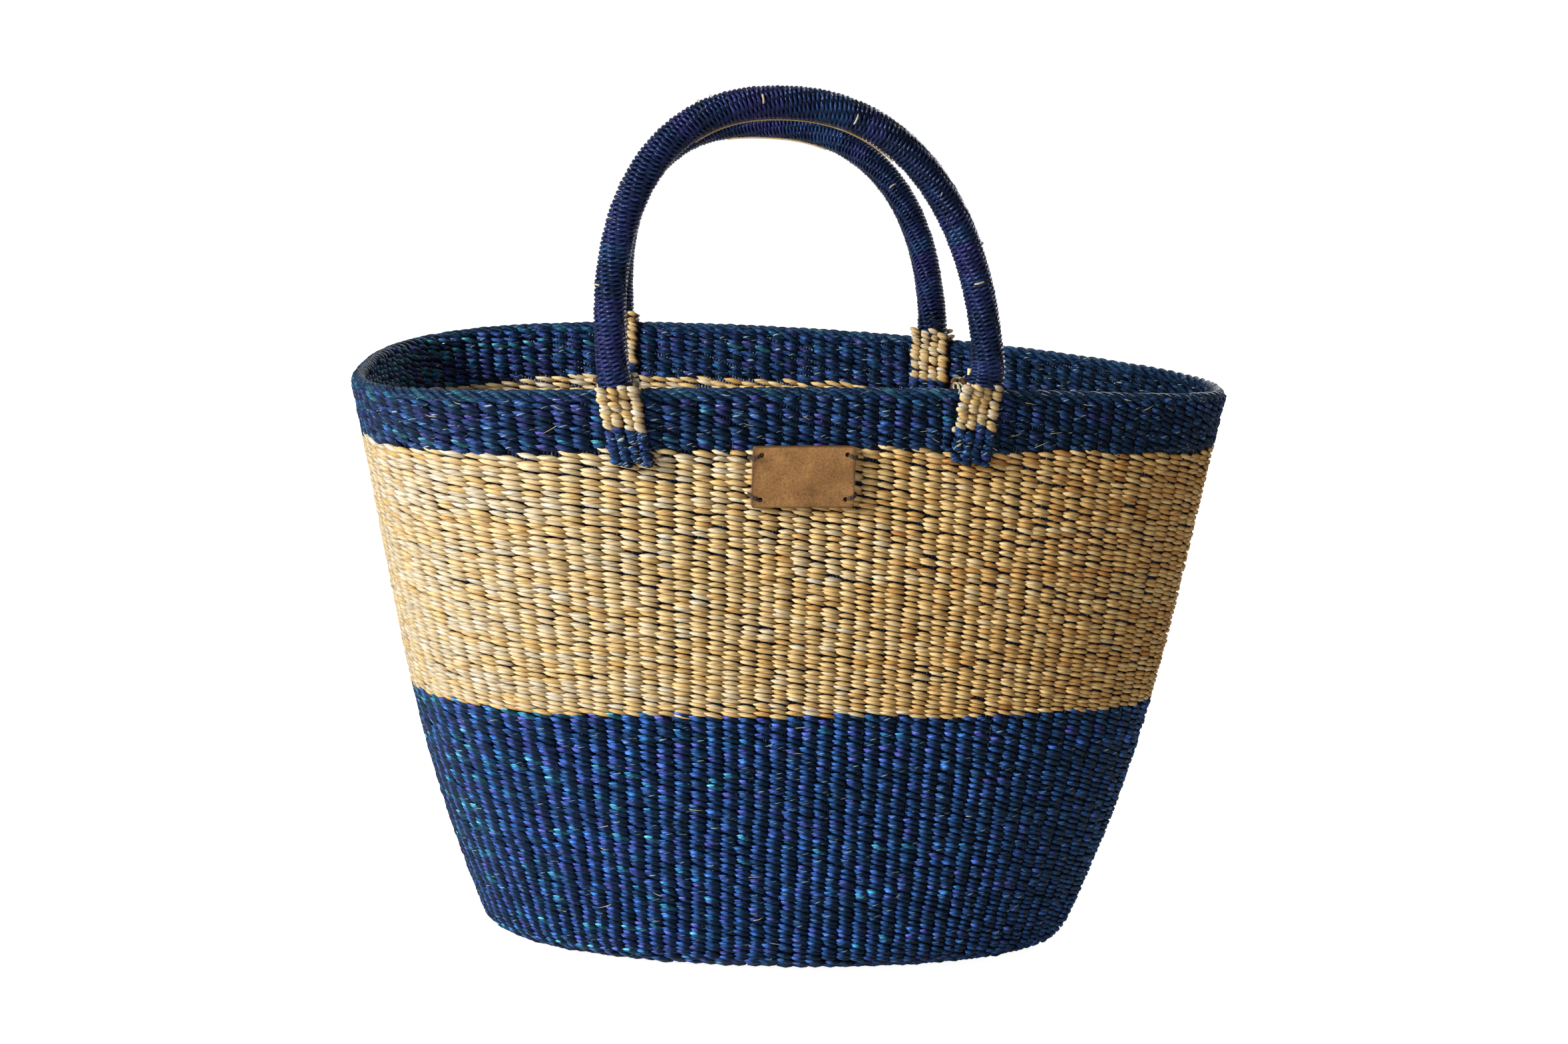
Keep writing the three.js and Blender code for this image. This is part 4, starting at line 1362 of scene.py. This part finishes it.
# %% String and flecks on the handles
STRING_SHARES = {"front": (0.35, 0.66), "back": (0.42, 0.60)}
STRING_RADIUS = 0.45 * mm
STRING_CLEARANCE = 0.2 * mm
STRING_TINT = 0.35
FLECKS = 9
FLECK_RADIUS = 0.5 * mm
FLECK_LIFTS = np.array((-0.8, 0.1, 0.3, 0.3, 0.1, -0.8))[:, None] * mm
FLECK_MARGIN = 12
FLECK_ANGLES = (0.35, 0.8)
FLECK_TINTS = (0.5, 1.0)
rng = np.random.default_rng(19)
for side, (first, last) in STRING_SHARES.items():
    line = handle_lines[side]
    tangents = unit(np.gradient(line, axis=0))
    inwards = (line[0] + line[-1]) / 2 - line
    inwards = unit(inwards - tangents * (inwards * tangents).sum(1, keepdims=True))
    across = np.cross(tangents, inwards)
    under = line + inwards * (WRAP_RADIUS + STRING_CLEARANCE)
    lines = [under[int(first * len(line)) : int(last * len(line))]]
    girths, tints = [STRING_RADIUS], [STRING_TINT]
    for at in rng.integers(FLECK_MARGIN, len(line) - FLECK_MARGIN, FLECKS):
        start = rng.uniform(0, 2 * math.pi)
        angle = start + np.linspace(0, rng.uniform(*FLECK_ANGLES), len(FLECK_LIFTS))[:, None]
        circle = inwards[at] * np.cos(angle) + across[at] * np.sin(angle)
        lines.append(line[at] + circle * (WRAP_RADIUS + FLECK_LIFTS))
        girths.append(FLECK_RADIUS)
        tints.append(rng.uniform(*FLECK_TINTS))
    trims = straw_lines(f"{side}_handle_trims", lines, girths, tints, hair_finish, 5)
    finish_piece(trims, f"{side}_handle", "straw_natural")

# %% [markdown]
# A tab covers each foot of a handle, outside and inside the wall. It is twined over four ribs,
# natural at the top and navy below, and its last rows overlap the natural band. A woven strip
# could be laid on as one sheet, but the tabs are what the eye goes to, so their stitches are made
# one by one, with the tree of the wall and a rounder shape.

# %% Sizes of the tabs
TAB_WIDTH = 23.5 * mm
TAB_HEIGHT = 40.5 * mm
TAB_ABOVE_RIM = 4.0 * mm
TAB_RIBS = 4
TAB_MARGIN = 0.9 * mm
TAB_RIB_PITCH = (TAB_WIDTH - 2 * TAB_MARGIN) / TAB_RIBS
TAB_ROW = 2.75 * mm
TAB_ROWS = int(round((TAB_HEIGHT + TAB_ABOVE_RIM) / TAB_ROW))
TAB_FIRST_ROW = 0.35
TAB_STAGGER = 0.35 * TAB_ROW
TAB_EDGE_PLAY = 0.5 * TAB_ROW
TAB_SIDE_PLAY = 0.4 * mm
TAB_HEIGHT_PLAY = 0.5 * mm
TAB_REACH = 1.6 * mm
TAB_TOP_REACH = 2.4 * mm
TAB_TOP_BEND = 1.5 * mm
TAB_NATURAL = {"outer": 19.5 * mm, "inner": 25.5 * mm}
TAB_TINTS = {"natural": 0.62, "navy": 0.5}
TAB_TINT_SPREAD = 0.14
TAB_FINISHES = {"natural": natural, "navy": tab_navy}
TAB_SHAPE = (5.7 * mm, 3.4 * mm, 3.2 * mm)
TAB_TREE = {
    "Pointedness": 0.5,
    "Stations": 9,
    "Sides": 7,
    "Skew": 1.0,
    "Bulge": 0.6,
    "Tuck": 0.4,
    "Arch": 0.25,
    "Slant": 24 * degree,
    "Slant Play": 8 * degree,
    "Size Play": 0.12,
}
print("a tab has", TAB_ROWS, "rows")


# %% Tabs at the feet of the handles
def tab_points(side, x, face, lean, rng):
    """Stitches of one tab: rows from the rim down, with the way down of each."""
    down = (np.arange(TAB_ROWS) + TAB_FIRST_ROW) * TAB_ROW - TAB_ABOVE_RIM
    offsets = (np.arange(TAB_RIBS) - (TAB_RIBS - 1) / 2) * TAB_RIB_PITCH
    right = 1 if (side == "front") == (face == "outer") else -1
    offsets = x + right * offsets[None, :] + lean * (down / TAB_HEIGHT)[:, None]
    offsets = offsets + TAB_SIDE_PLAY * rng.standard_normal(offsets.shape)
    points, along, outwards = face_frames(side, offsets, RIM_RUN - down)
    facing = 1 if face == "outer" else -1
    reach = TAB_REACH + TAB_TOP_REACH * np.clip((TAB_TOP_BEND - down) / TAB_ABOVE_RIM, 0, 1)
    reach = reach if face == "outer" else -WALL_THICKNESS - reach
    points = points + outwards * reach[:, None, None]
    points[..., 2] += TAB_HEIGHT_PLAY * rng.standard_normal(points.shape[:2])
    points[..., 2] -= TAB_STAGGER * (np.arange(TAB_RIBS) % 2)
    return points, along * facing, outwards * facing, down


rng = np.random.default_rng(12)
for side, handle in HANDLES.items():
    for end, shift, lean in zip(("left", "right"), handle["tab_shifts"], handle["tab_leans"]):
        parts = {"natural": [], "navy": []}
        for face in ("outer", "inner"):
            points, along, outwards, down = tab_points(side, handle[end] + shift, face, lean, rng)
            edge = TAB_NATURAL[face] + TAB_EDGE_PLAY * rng.uniform(-1, 1, TAB_RIBS)
            is_natural = down[:, None] < edge[None, :]
            parts["natural"].append([each[is_natural] for each in (points, along, outwards)])
            parts["navy"].append([each[~is_natural] for each in (points, along, outwards)])
        for kind, pieces in parts.items():
            points, along, outwards = (np.concatenate(each) for each in zip(*pieces))
            tints = TAB_TINTS[kind] + TAB_TINT_SPREAD * rng.standard_normal(len(points))
            size = np.broadcast_to(TAB_SHAPE, points.shape)
            tab = points_object(
                f"{side}_{end}_tab_{kind}",
                points,
                {"tint": np.clip(tints, 0, 1)},
                {"along": along, "outwards": outwards, "size": size},
            )
            grown(tab, stitches, {**TAB_TREE, "Seed": 9, "Finish": TAB_FINISHES[kind]})
            nodes = [f"{side}_{end}_{face}_tab_{kind}" for face in ("outer", "inner")]
            finish_piece(tab, "basket", KINDS[kind]["slot"], *nodes)

# %% [markdown]
# Under each tab, a bundle of straws comes up out of the wall and carries the handle. Loops of
# natural straw go over the rim beside it, and one lacing binds the tabs through the wall near
# their top and another near their bottom. Much of this is hidden in the wall, but the loops and
# the lacings show from above and from inside, so each is a straw that follows its own line.

# %% Roots, loops and lacings
ROOT_SPREAD = (4.0 * mm, 1.9 * mm)
ROOT_RING = [(0.0, 0.0)] + [
    (ROOT_SPREAD[0] * math.cos(turn), ROOT_SPREAD[1] * math.sin(turn))
    for turn in np.arange(6) * math.pi / 3
]
ROOT_HEIGHTS = np.linspace(-14, 11, 8) * mm
ROOT_STRAW_RADIUS = 1.7 * mm
ROOT_TINTS = (0.3, 0.8)
LOOP_OFFSETS = np.array((-10.4, -8.6, 8.8, 10.6)) * mm
LOOP_PLAY = 0.5 * mm
LOOP_REACH = 1.0 * mm
LOOP_RADIUS = 0.55 * mm
LOOP_HEIGHTS = (1.4, 2.8)
LOOP_TINTS = (0.62, 0.8)
LACING_REACH = 1.2 * mm
LACING_HALF = 9 * mm
LACING_RADIUS = 0.9 * mm
LACING_TINT = 0.45
LACING_DROPS = {"upper": 13 * mm, "lower": 38 * mm}
LACING_FINISHES = {"upper": hair_finish, "lower": navy}


def over_the_rim(side, x, height, steps=9):
    """A line that climbs the outer face at x, crosses the rim and goes down inside."""
    outward = face_place(side, x, RIM_RUN)[2]
    half = WALL_THICKNESS / 2 + LOOP_REACH
    angle = np.linspace(-0.25, 1.25, steps)[:, None] * math.pi
    rise = np.maximum(np.sin(angle), -0.6) * height
    return rim_middle(side, x) + outward * half * np.cos(angle) + np.array((0, 0, 1)) * rise


def through_the_wall(side, x, drop, lean):
    """A closed lacing round both tabs, through the wall at both ends."""
    xs = x + lean * drop / TAB_HEIGHT + np.array((-1, -0.6, 0, 0.6, 1)) * LACING_HALF
    points, _, outwards = face_frames(side, xs, [RIM_RUN - drop])
    points, outwards = points[0], outwards[0]
    reach = LACING_REACH * np.array((0.3, 0.9, 1, 0.9, 0.3))[:, None]
    outer = points + outwards * reach
    inner = (points - outwards * (WALL_THICKNESS + reach))[::-1]
    return np.vstack([outer, inner, outer[:1]])


rng = np.random.default_rng(31)
for side, handle in HANDLES.items():
    for end, shift, lean in zip(("left", "right"), handle["tab_shifts"], handle["tab_leans"]):
        x = handle[end] + shift
        place = f"{side}_{end}"
        _, along, outward = face_place(side, x, RIM_RUN)
        centre = rim_middle(side, x)
        lines = [
            centre + along * a + outward * b + np.outer(ROOT_HEIGHTS, (0, 0, 1))
            for a, b in ROOT_RING
        ]
        count = len(lines)
        girths, tints = [ROOT_STRAW_RADIUS] * count, rng.uniform(*ROOT_TINTS, count)
        root = straw_lines(f"{place}_root_straws", lines, girths, tints, natural, 7)
        finish_piece(root, "basket", "straw_natural", f"{place}_root")

        count = len(LOOP_OFFSETS)
        offsets = LOOP_OFFSETS + LOOP_PLAY * rng.standard_normal(count)
        heights = rng.uniform(*LOOP_HEIGHTS, count) * mm
        lines = [over_the_rim(side, x + dx, height) for dx, height in zip(offsets, heights)]
        girths, tints = [LOOP_RADIUS] * count, rng.uniform(*LOOP_TINTS, count)
        loops = straw_lines(f"{place}_loops", lines, girths, tints, hair_finish, 8)
        finish_piece(loops, "basket", "straw_natural")

        for level, drop in LACING_DROPS.items():
            lines = [through_the_wall(side, x, drop, lean)]
            name, finish = f"{place}_{level}_thread", LACING_FINISHES[level]
            lacing = straw_lines(name, lines, [LACING_RADIUS], [LACING_TINT], finish, 7)
            finish_piece(lacing, "basket", "straw_natural", f"{place}_{level}_lacing")

# %% [markdown]
# Beside the front right tab a natural strand ends in a small knot. A knot this small reads as a
# lump with a waist, so a short straw with a girth that swells twice stands in for its turns.

# %% Knot beside the front right tab
KNOT_X = 84 * mm
KNOT_DROP = 21 * mm
KNOT_LIFT = 1.2 * mm
KNOT_SPAN = (-2, 2)
KNOT_TINT = 0.6
KNOT_GIRTHS = np.array((0.5, 1.3, 1.7, 1.5, 1.7, 1.3, 0.5)) * mm
point, along, outward = face_place("front", KNOT_X, RIM_RUN - KNOT_DROP)
shifts = np.linspace(*KNOT_SPAN, len(KNOT_GIRTHS))[:, None] * mm
knot_line = point + outward * KNOT_LIFT + shifts * along
knot = straw_lines("front_right_knot", [knot_line], [KNOT_GIRTHS], [KNOT_TINT], hair_finish, 8)
finish_piece(knot, "basket", "straw_natural")

# %% [markdown]
# The patch is vegetable-tanned leather: cloudy brown, with a fine grain, small pores and darker
# cut edges. A photographed leather would fix its colour for good. Noise at three sizes and a mask
# read from the mesh near its edges give the same layers with values that can be changed.

# %% Leather finish
CLOUD_SCALE = 55.0
GRAIN_SCALE = 900.0
PORE_SCALE = 1300.0
EDGE_BROWN = (0.085, 0.040, 0.016)
LEATHER_RELIEF = 0.3 * mm

leather, tree, shader = new_material("leather")
spot = tree.nodes.new("ShaderNodeTexCoord").outputs["Object"]
clouds = noise(tree, spot, CLOUD_SCALE, 5.0, 0.6)["Fac"]
grain = noise(tree, spot, GRAIN_SCALE, 4.0, 0.7)["Fac"]
cells = add_node(tree, "ShaderNodeTexVoronoi", {"Vector": spot, "Scale": PORE_SCALE})
pores = cells.outputs["Distance"]
browns = [(0.3, (0.17, 0.080, 0.025)), (0.5, (0.27, 0.135, 0.045)), (0.7, (0.39, 0.205, 0.075))]
speckles = [(0.3, (0.55, 0.50, 0.44)), (0.5, (1, 1, 0.96)), (0.7, (1.4, 1.35, 1.2))]
colour = mixed(tree, 1.0, ramp(tree, clouds, browns), ramp(tree, grain, speckles), "MULTIPLY")
colour = mixed(tree, attribute(tree, "edge"), colour, EDGE_BROWN)
tree.links.new(colour, shader.inputs["Base Color"])
bumped(tree, shader, plus(tree, times(tree, pores, 0.5), grain), 0.35, LEATHER_RELIEF)
tree.links.new(remap(tree, clouds, to_low=0.5, to_high=0.72), shader.inputs["Roughness"])
shader.inputs["Specular IOR Level"].default_value = 0.3
print("leather has", len(tree.nodes), "nodes")

# %% [markdown]
# The patch is two millimetres thick, has slightly worn edges and is punched near its corners. Holes
# could be cut with booleans in the finished patch, but a filled 2D curve makes them cleanly. The
# flat sheet is sliced so that it can bend, laid on the wall, and then thickened and bevelled.

# %% Sizes of the patch
PATCH_WIDTH = 55 * mm
PATCH_HEIGHT = 33.5 * mm
PATCH_X = 3 * mm
PATCH_TOP_RUN = UPPER_BAND_RUN + 3.5 * mm
PATCH_RUN = PATCH_TOP_RUN - PATCH_HEIGHT / 2
PATCH_THICKNESS = 2 * mm
PATCH_CORNER = 1.5 * mm
PATCH_LIFT = 0.9 * mm
PATCH_CURL = 0.5 * mm
WORN_EDGE = 1.1 * mm
EDGE_DARKNESS = 0.85
BEVEL_WIDTH = 0.45 * mm
HOLE_INSET = 4.5 * mm
HOLE_RADIUS = 1.4 * mm
SLICE = 2.5 * mm
HALF_PATCH = (PATCH_WIDTH / 2, PATCH_HEIGHT / 2)
print("the patch is", round(PATCH_WIDTH * 1000), "mm wide")


# %% The flat patch
def arc(centre, radius, angles):
    """Points on a circle."""
    return [(centre[0] + radius * math.cos(a), centre[1] + radius * math.sin(a)) for a in angles]


def flat_patch():
    """The patch as a flat sheet round its middle, with its four holes, sliced into squares."""
    edge, holes = [], []
    for turn, signs in enumerate(((1, 1), (-1, 1), (-1, -1), (1, -1))):
        corner = [sign * (half - PATCH_CORNER) for sign, half in zip(signs, HALF_PATCH)]
        edge += arc(corner, PATCH_CORNER, np.linspace(0, math.pi / 2, 4) + turn * math.pi / 2)
    for signs in ((-1, -1), (-1, 1), (1, -1), (1, 1)):
        hole = [sign * (half - HOLE_INSET) for sign, half in zip(signs, HALF_PATCH)]
        holes.append(arc(hole, HOLE_RADIUS, np.arange(12) * math.pi / 6))
    outline = bpy.data.curves.new("patch outline", "CURVE")
    outline.dimensions = "2D"
    outline.fill_mode = "BOTH"
    for ring in [edge] + holes:
        spline = outline.splines.new("POLY")
        spline.points.add(len(ring) - 1)
        for point, (x, y) in zip(spline.points, ring):
            point.co = (x, y, 0, 1)
        spline.use_cyclic_u = True
    holder = bpy.data.objects.new("patch outline", outline)
    scene.collection.objects.link(holder)
    evaluated = holder.evaluated_get(bpy.context.evaluated_depsgraph_get())
    mesh = bmesh.new()
    mesh.from_mesh(evaluated.to_mesh())
    evaluated.to_mesh_clear()
    bpy.data.objects.remove(holder)
    for axis, size in zip((Vector((1, 0, 0)), Vector((0, 1, 0))), HALF_PATCH):
        for at in np.arange(-size + SLICE, size, SLICE):
            everything = mesh.verts[:] + mesh.edges[:] + mesh.faces[:]
            bmesh.ops.bisect_plane(mesh, geom=everything, plane_co=axis * at, plane_no=axis, dist=1e-6)
    bmesh.ops.dissolve_degenerate(mesh, dist=1e-6, edges=mesh.edges[:])
    return mesh


sheet = flat_patch()
print("the flat patch has", len(sheet.faces), "faces")

# %% The patch on the wall
local = np.array([vertex.co[:] for vertex in sheet.verts])
for vertex, (x, y, _) in zip(sheet.verts, local):
    point, _, outward = face_place("front", PATCH_X + x, PATCH_RUN + y)
    vertex.co = point + outward * (PATCH_LIFT + PATCH_CURL * (abs(x) / PATCH_WIDTH * 2) ** 4)
bmesh.ops.recalc_face_normals(sheet, faces=sheet.faces[:])
if sum(face.normal.y * face.calc_area() for face in sheet.faces) > 0:
    bmesh.ops.reverse_faces(sheet, faces=sheet.faces[:])
mesh = bpy.data.meshes.new("bare_patch")
sheet.to_mesh(mesh)
sheet.free()
away = np.min(HALF_PATCH - np.abs(local[:, :2]), axis=1)
worn = np.clip(EDGE_DARKNESS - away / WORN_EDGE, 0, EDGE_DARKNESS).astype(np.float32)
mesh.attributes.new("edge", "FLOAT", "POINT").data.foreach_set("value", worn)
patch = bpy.data.objects.new("bare_patch", mesh)
scene.collection.objects.link(patch)
mesh.materials.append(leather)
thicken = patch.modifiers.new("thickness", "SOLIDIFY")
thicken.thickness = PATCH_THICKNESS
thicken.offset = 1
rounded = patch.modifiers.new("soft edges", "BEVEL")
rounded.width = BEVEL_WIDTH
rounded.segments = 3
rounded.limit_method = "ANGLE"
evaluated = patch.evaluated_get(bpy.context.evaluated_depsgraph_get())
patch.data = bpy.data.meshes.new_from_object(evaluated)
patch.modifiers.clear()
for face in patch.data.polygons:
    face.use_smooth = True
patch.data.set_sharp_from_angle(angle=50 * degree)
finish_piece(patch, "basket", "leather", "leather_patch")

# %% [markdown]
# A dark waxed thread ties each corner of the patch to the weave: out of the wall, over the edge of
# the leather and down through the hole. Two strands side by side make it, with the twist of their
# plies in the material as a bump and as painted shade in their grooves, since a thread this thin
# needs no shape for them.

# %% Thread finish
THREAD_TURNS = 700.0
thread, tree, shader = new_material("thread")
along, around = strand_map(tree)
twist = plus(tree, times(tree, along, THREAD_TURNS), around)
ply = remap(tree, calculate(tree, "SINE", times(tree, twist, 2 * math.pi)), -1.0, 1.0)
# Painted shade in the grooves of the plies, lighter on their crests.
colour = ramp(tree, ply, [(0.0, (0.014, 0.007, 0.004)), (1.0, (0.065, 0.034, 0.018))])
tree.links.new(colour, shader.inputs["Base Color"])
bumped(tree, shader, ply, 0.6, 0.3 * mm)
shader.inputs["Roughness"].default_value = 0.7
print("thread has", len(tree.nodes), "nodes")

# %% Ties of the patch
TIE_REACH = 6.5 * mm
TIE_DROP = 2.5 * mm
TIE_STEPS = 11
TIE_STRAND_RADIUS = 0.65 * mm
TIE_STRAND_SHIFTS = (-0.45, 0.45)
TIE_TINTS = (0.3, 0.6)
TIE_PROFILE = ((0, 0.14, 0.3, 0.66, 0.84, 1), (-1.5, 2.6, 3.9, 3.9, 1.2, -1.5))

for to_right, across in ((-1, "left"), (1, "right")):
    for to_top, upright in ((1, "top"), (-1, "bottom")):
        hole_x = PATCH_X + to_right * (PATCH_WIDTH / 2 - HOLE_INSET)
        hole_run = PATCH_RUN + to_top * (PATCH_HEIGHT / 2 - HOLE_INSET)
        shares = np.linspace(0, 1, TIE_STEPS)
        xs = hole_x + to_right * TIE_REACH * shares
        runs = hole_run - to_top * TIE_DROP * shares
        places = [face_place("front", x, run) for x, run in zip(xs, runs)]
        points = np.array([point for point, _, _ in places])
        outwards = np.array([outward for _, _, outward in places])
        line = points + outwards * (np.interp(shares, *TIE_PROFILE) * mm)[:, None]
        lines = [line + np.array((0, 0, shift)) * mm for shift in TIE_STRAND_SHIFTS]
        girths = [TIE_STRAND_RADIUS] * len(lines)
        tie = straw_lines(f"tie_{upright}_{across}", lines, girths, TIE_TINTS, thread, 8)
        finish_piece(tie, "basket", "thread", f"patch_tie_{upright}_{across}")

# %% [markdown]
# No weave by hand is without stray ends. Short hairs of straw stand out of the navy bands, where
# they show as pale dashes. A hair system would scatter far more than are there, so a few are
# drawn one by one with random places and curls.

# %% Stray ends
HAIRS = 80
HAIR_X = 0.215
HAIR_POINTS = 7
HAIR_LENGTHS = (3, 9)
HAIR_CURLS = (0.4, 1.4)
HAIR_SLOPES = (-0.6, 0.6)
HAIR_RADII = (0.12, 0.3)
HAIR_TINTS = (0.3, 1.0)
HAIR_LIFT = 0.3 * mm
FRONT_SHARE = 0.6
HIGH_SHARE = 0.45
LOW_REACH = 0.15
rng = np.random.default_rng(77)
lines, girths, tints = [], [], []
for _ in range(HAIRS):
    side = "front" if rng.random() < FRONT_SHARE else "back"
    x = rng.uniform(-HAIR_X, HAIR_X)
    high = rng.random() < HIGH_SHARE
    run = rng.uniform(UPPER_BAND_RUN, RIM_RUN) if high else rng.uniform(CORNER_RUN, LOWER_BAND_RUN)
    if not high and abs(x) > LOW_REACH:
        continue
    point, right, outward = face_place(side, x, run)
    length = rng.uniform(*HAIR_LENGTHS) * mm
    heading = unit(right * rng.choice((-1, 1)) + np.array((0, 0, 1)) * rng.uniform(*HAIR_SLOPES))
    curl = rng.uniform(*HAIR_CURLS) * mm
    shares = np.linspace(0, 1, HAIR_POINTS)[:, None]
    lift = HAIR_LIFT + curl * np.sin(shares * 2.6)
    lines.append(point + heading * length * shares + outward * lift)
    girths.append(rng.uniform(*HAIR_RADII) * mm * (1.05 - shares[:, 0] ** 2))
    tints.append(rng.uniform(*HAIR_TINTS))
hairs = straw_lines("stray_ends", lines, girths, tints, hair_finish, 5)
finish_piece(hairs, "basket", "straw_natural")

# %% [markdown]
# The basket was photographed on white, with most of its light from the left. A white room would
# wash its colours out. So the background is white only for the camera and dim for the basket
# itself, and the floor glows for the camera in the same way.

# %% World
AMBIENT = 0.2
world = bpy.data.worlds.new("studio")
scene.world = world
world.use_nodes = True
tree = world.node_tree
background = tree.nodes["Background"]
rays = tree.nodes.new("ShaderNodeLightPath").outputs
seen = calculate(tree, "MAXIMUM", rays["Is Camera Ray"], rays["Is Transmission Ray"])
background.inputs["Color"].default_value = (1, 1, 1, 1)
tree.links.new(remap(tree, seen, to_low=AMBIENT), background.inputs["Strength"])
print("the world lights the basket with", AMBIENT)

# %% Lamps
LAMP_TARGET = Vector((0, 0, 0.2))


def lamp(name, place, size, power, colour=(1, 1, 1)):
    """A square lamp that looks at the basket."""
    data = bpy.data.lights.new(name, "AREA")
    data.size = size
    data.energy = power
    data.color = colour
    obj = bpy.data.objects.new(name, data)
    turn = (LAMP_TARGET - Vector(place)).to_track_quat("-Z", "Y").to_matrix().to_4x4()
    obj.matrix_world = Matrix.Translation(place) @ turn
    scene.collection.objects.link(obj)
    print(name, power, "W")


lamp("key", (-1.8, -1.1, 1.15), 0.5, 78, (1.0, 0.98, 0.96))
lamp("front_fill", (0.5, -2.3, 0.8), 1.4, 7, (1.0, 0.93, 0.82))
lamp("back_fill", (1.0, 2.0, 1.3), 1.4, 22)

# %% Floor
FLOOR_HALF = 6.0
FLOOR_DROP = 0.2 * mm
FLOOR_GLOW = 0.93
floor_mesh = bpy.data.meshes.new("floor")
corners = [(x * FLOOR_HALF, y * FLOOR_HALF, 0) for x, y in ((-1, -1), (1, -1), (1, 1), (-1, 1))]
floor_mesh.from_pydata(corners, [], [(0, 1, 2, 3)])
floor = bpy.data.objects.new("floor", floor_mesh)
floor.location.z = -FLOOR_DROP
scene.collection.objects.link(floor)
floor_finish, tree, shader = new_material("floor")
shader.inputs["Base Color"].default_value = (0.8, 0.8, 0.8, 1)
shader.inputs["Roughness"].default_value = 1.0
rays = tree.nodes.new("ShaderNodeLightPath").outputs
shader.inputs["Emission Color"].default_value = (1, 1, 1, 1)
glow = times(tree, rays["Is Camera Ray"], FLOOR_GLOW)
tree.links.new(glow, shader.inputs["Emission Strength"])
floor_mesh.materials.append(floor_finish)
print("the floor is", 2 * FLOOR_HALF, "m wide")

scene.view_settings.view_transform = "Standard"
